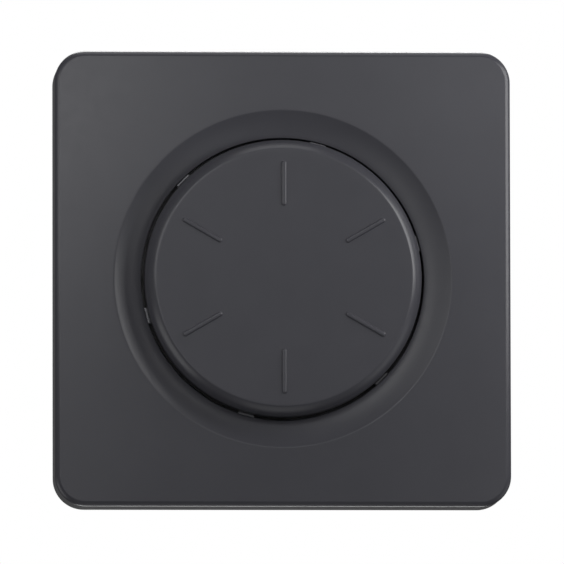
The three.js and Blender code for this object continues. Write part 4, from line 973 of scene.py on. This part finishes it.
def add_camera():
    """A long lens, a little left of and below the axis."""
    data = bpy.data.cameras.new("camera")
    data.sensor_width = SENSOR
    data.lens = SENSOR * CAMERA_DISTANCE / FIELD
    data.clip_end = 50.0
    camera = bpy.data.objects.new("camera", data)
    towards = direction(CAMERA_AZIMUTH, CAMERA_ELEVATION)
    camera.location = CAMERA_AIM + towards * CAMERA_DISTANCE
    roll = Quaternion((0.0, 0.0, 1.0), CAMERA_ROLL)
    camera.rotation_euler = (towards.to_track_quat("Z", "Y") @ roll).to_euler()
    bpy.context.scene.collection.objects.link(camera)
    bpy.context.scene.camera = camera


def softbox(name, azimuth, elevation, distance, side, power):
    """A square lamp that faces the object and isn't seen by the camera."""
    data = bpy.data.lights.new(name, "AREA")
    data.size = side
    data.energy = power
    lamp = bpy.data.objects.new(name, data)
    towards = direction(math.radians(azimuth), math.radians(elevation))
    lamp.location = towards * distance
    lamp.rotation_euler = towards.to_track_quat("Z", "Y").to_euler()
    lamp.visible_camera = False
    bpy.context.scene.collection.objects.link(lamp)


# Name, azimuth, elevation, distance, side and power. Most rows began as the output of a least-squares fit
# of brightness, and were then rounded or changed.
SOFTBOXES = (
    ("front left", -15, 8, 0.21, 0.05, 0.01),
    ("front upper", -9, 17, 0.21, 0.05, 0.017),
    ("front upper right", 15, 17, 0.22, 0.05, 0.013),
    ("front right", 25, -4, 0.22, 0.05, 0.01),
    ("front lower left", -15, -10, 0.21, 0.05, 0.008),
    ("front lower right", 15, -16, 0.22, 0.05, 0.005),
    ("left key", -24, 12, 0.2, 0.12, 0.02),
    ("left edge", -48, 15, 0.13, 0.065, 0.018),
    ("right edge", 58, 18, 0.15, 0.1, 0.13),
    ("left rim", -80, -30, 0.36, 0.2, 0.15),
    ("right rim", 80, -30, 0.36, 0.2, 0.07),
    ("top rim", 0, 75, 0.36, 0.2, 0.16),
    ("under", 0, -80, 0.36, 0.2, 0.06),
    ("back", 180, 58, 0.7, 0.4, 5.0),
    ("back low", 180, -58, 0.7, 0.4, 2.0),
)


def add_studio():
    """Softboxes, a white surround that lights the object gently, and a pale floor well below the part."""
    for settings in SOFTBOXES:
        softbox(*settings)
    world = bpy.data.worlds.new("studio")
    bpy.context.scene.world = world
    world.use_nodes = True
    tree = world.node_tree
    tree.nodes.clear()
    rays = add_node(tree, "ShaderNodeLightPath")
    seen = add_node(tree, "ShaderNodeBackground", None, {"Color": WHITE, "Strength": 1.0})
    ambient = add_node(tree, "ShaderNodeBackground", None, {"Color": WHITE, "Strength": AMBIENT})
    mix = add_node(tree, "ShaderNodeMixShader", None, {
        0: rays.outputs["Is Camera Ray"], 1: ambient.outputs[0], 2: seen.outputs[0]})
    add_node(tree, "ShaderNodeOutputWorld", None, {"Surface": mix.outputs[0]})
    bpy.context.scene.view_settings.view_transform = "Standard"
    around = ((-1, -1), (1, -1), (1, 1), (-1, 1))
    corners = [(x * FLOOR_HALF, y * FLOOR_HALF, FLOOR_LEVEL) for x, y in around]
    mesh = bpy.data.meshes.new("floor")
    mesh.from_pydata(corners, [], [(0, 1, 2, 3)])
    material, tree, shader = base_material("pale matt floor", 0.9)
    two_tones(tree, shader, grain_noise(tree, 60.0), "#f4f4f2", "#f8f8f6")
    shader.inputs["Emission Color"].default_value = WHITE
    shader.inputs["Emission Strength"].default_value = FLOOR_GLOW
    mesh.materials.append(material)
    floor = bpy.data.objects.new("floor", mesh)
    floor.visible_diffuse = False
    floor.visible_glossy = False
    bpy.context.scene.collection.objects.link(floor)


add_camera()
add_studio()
finish_cad_nodes()
build_pieces()
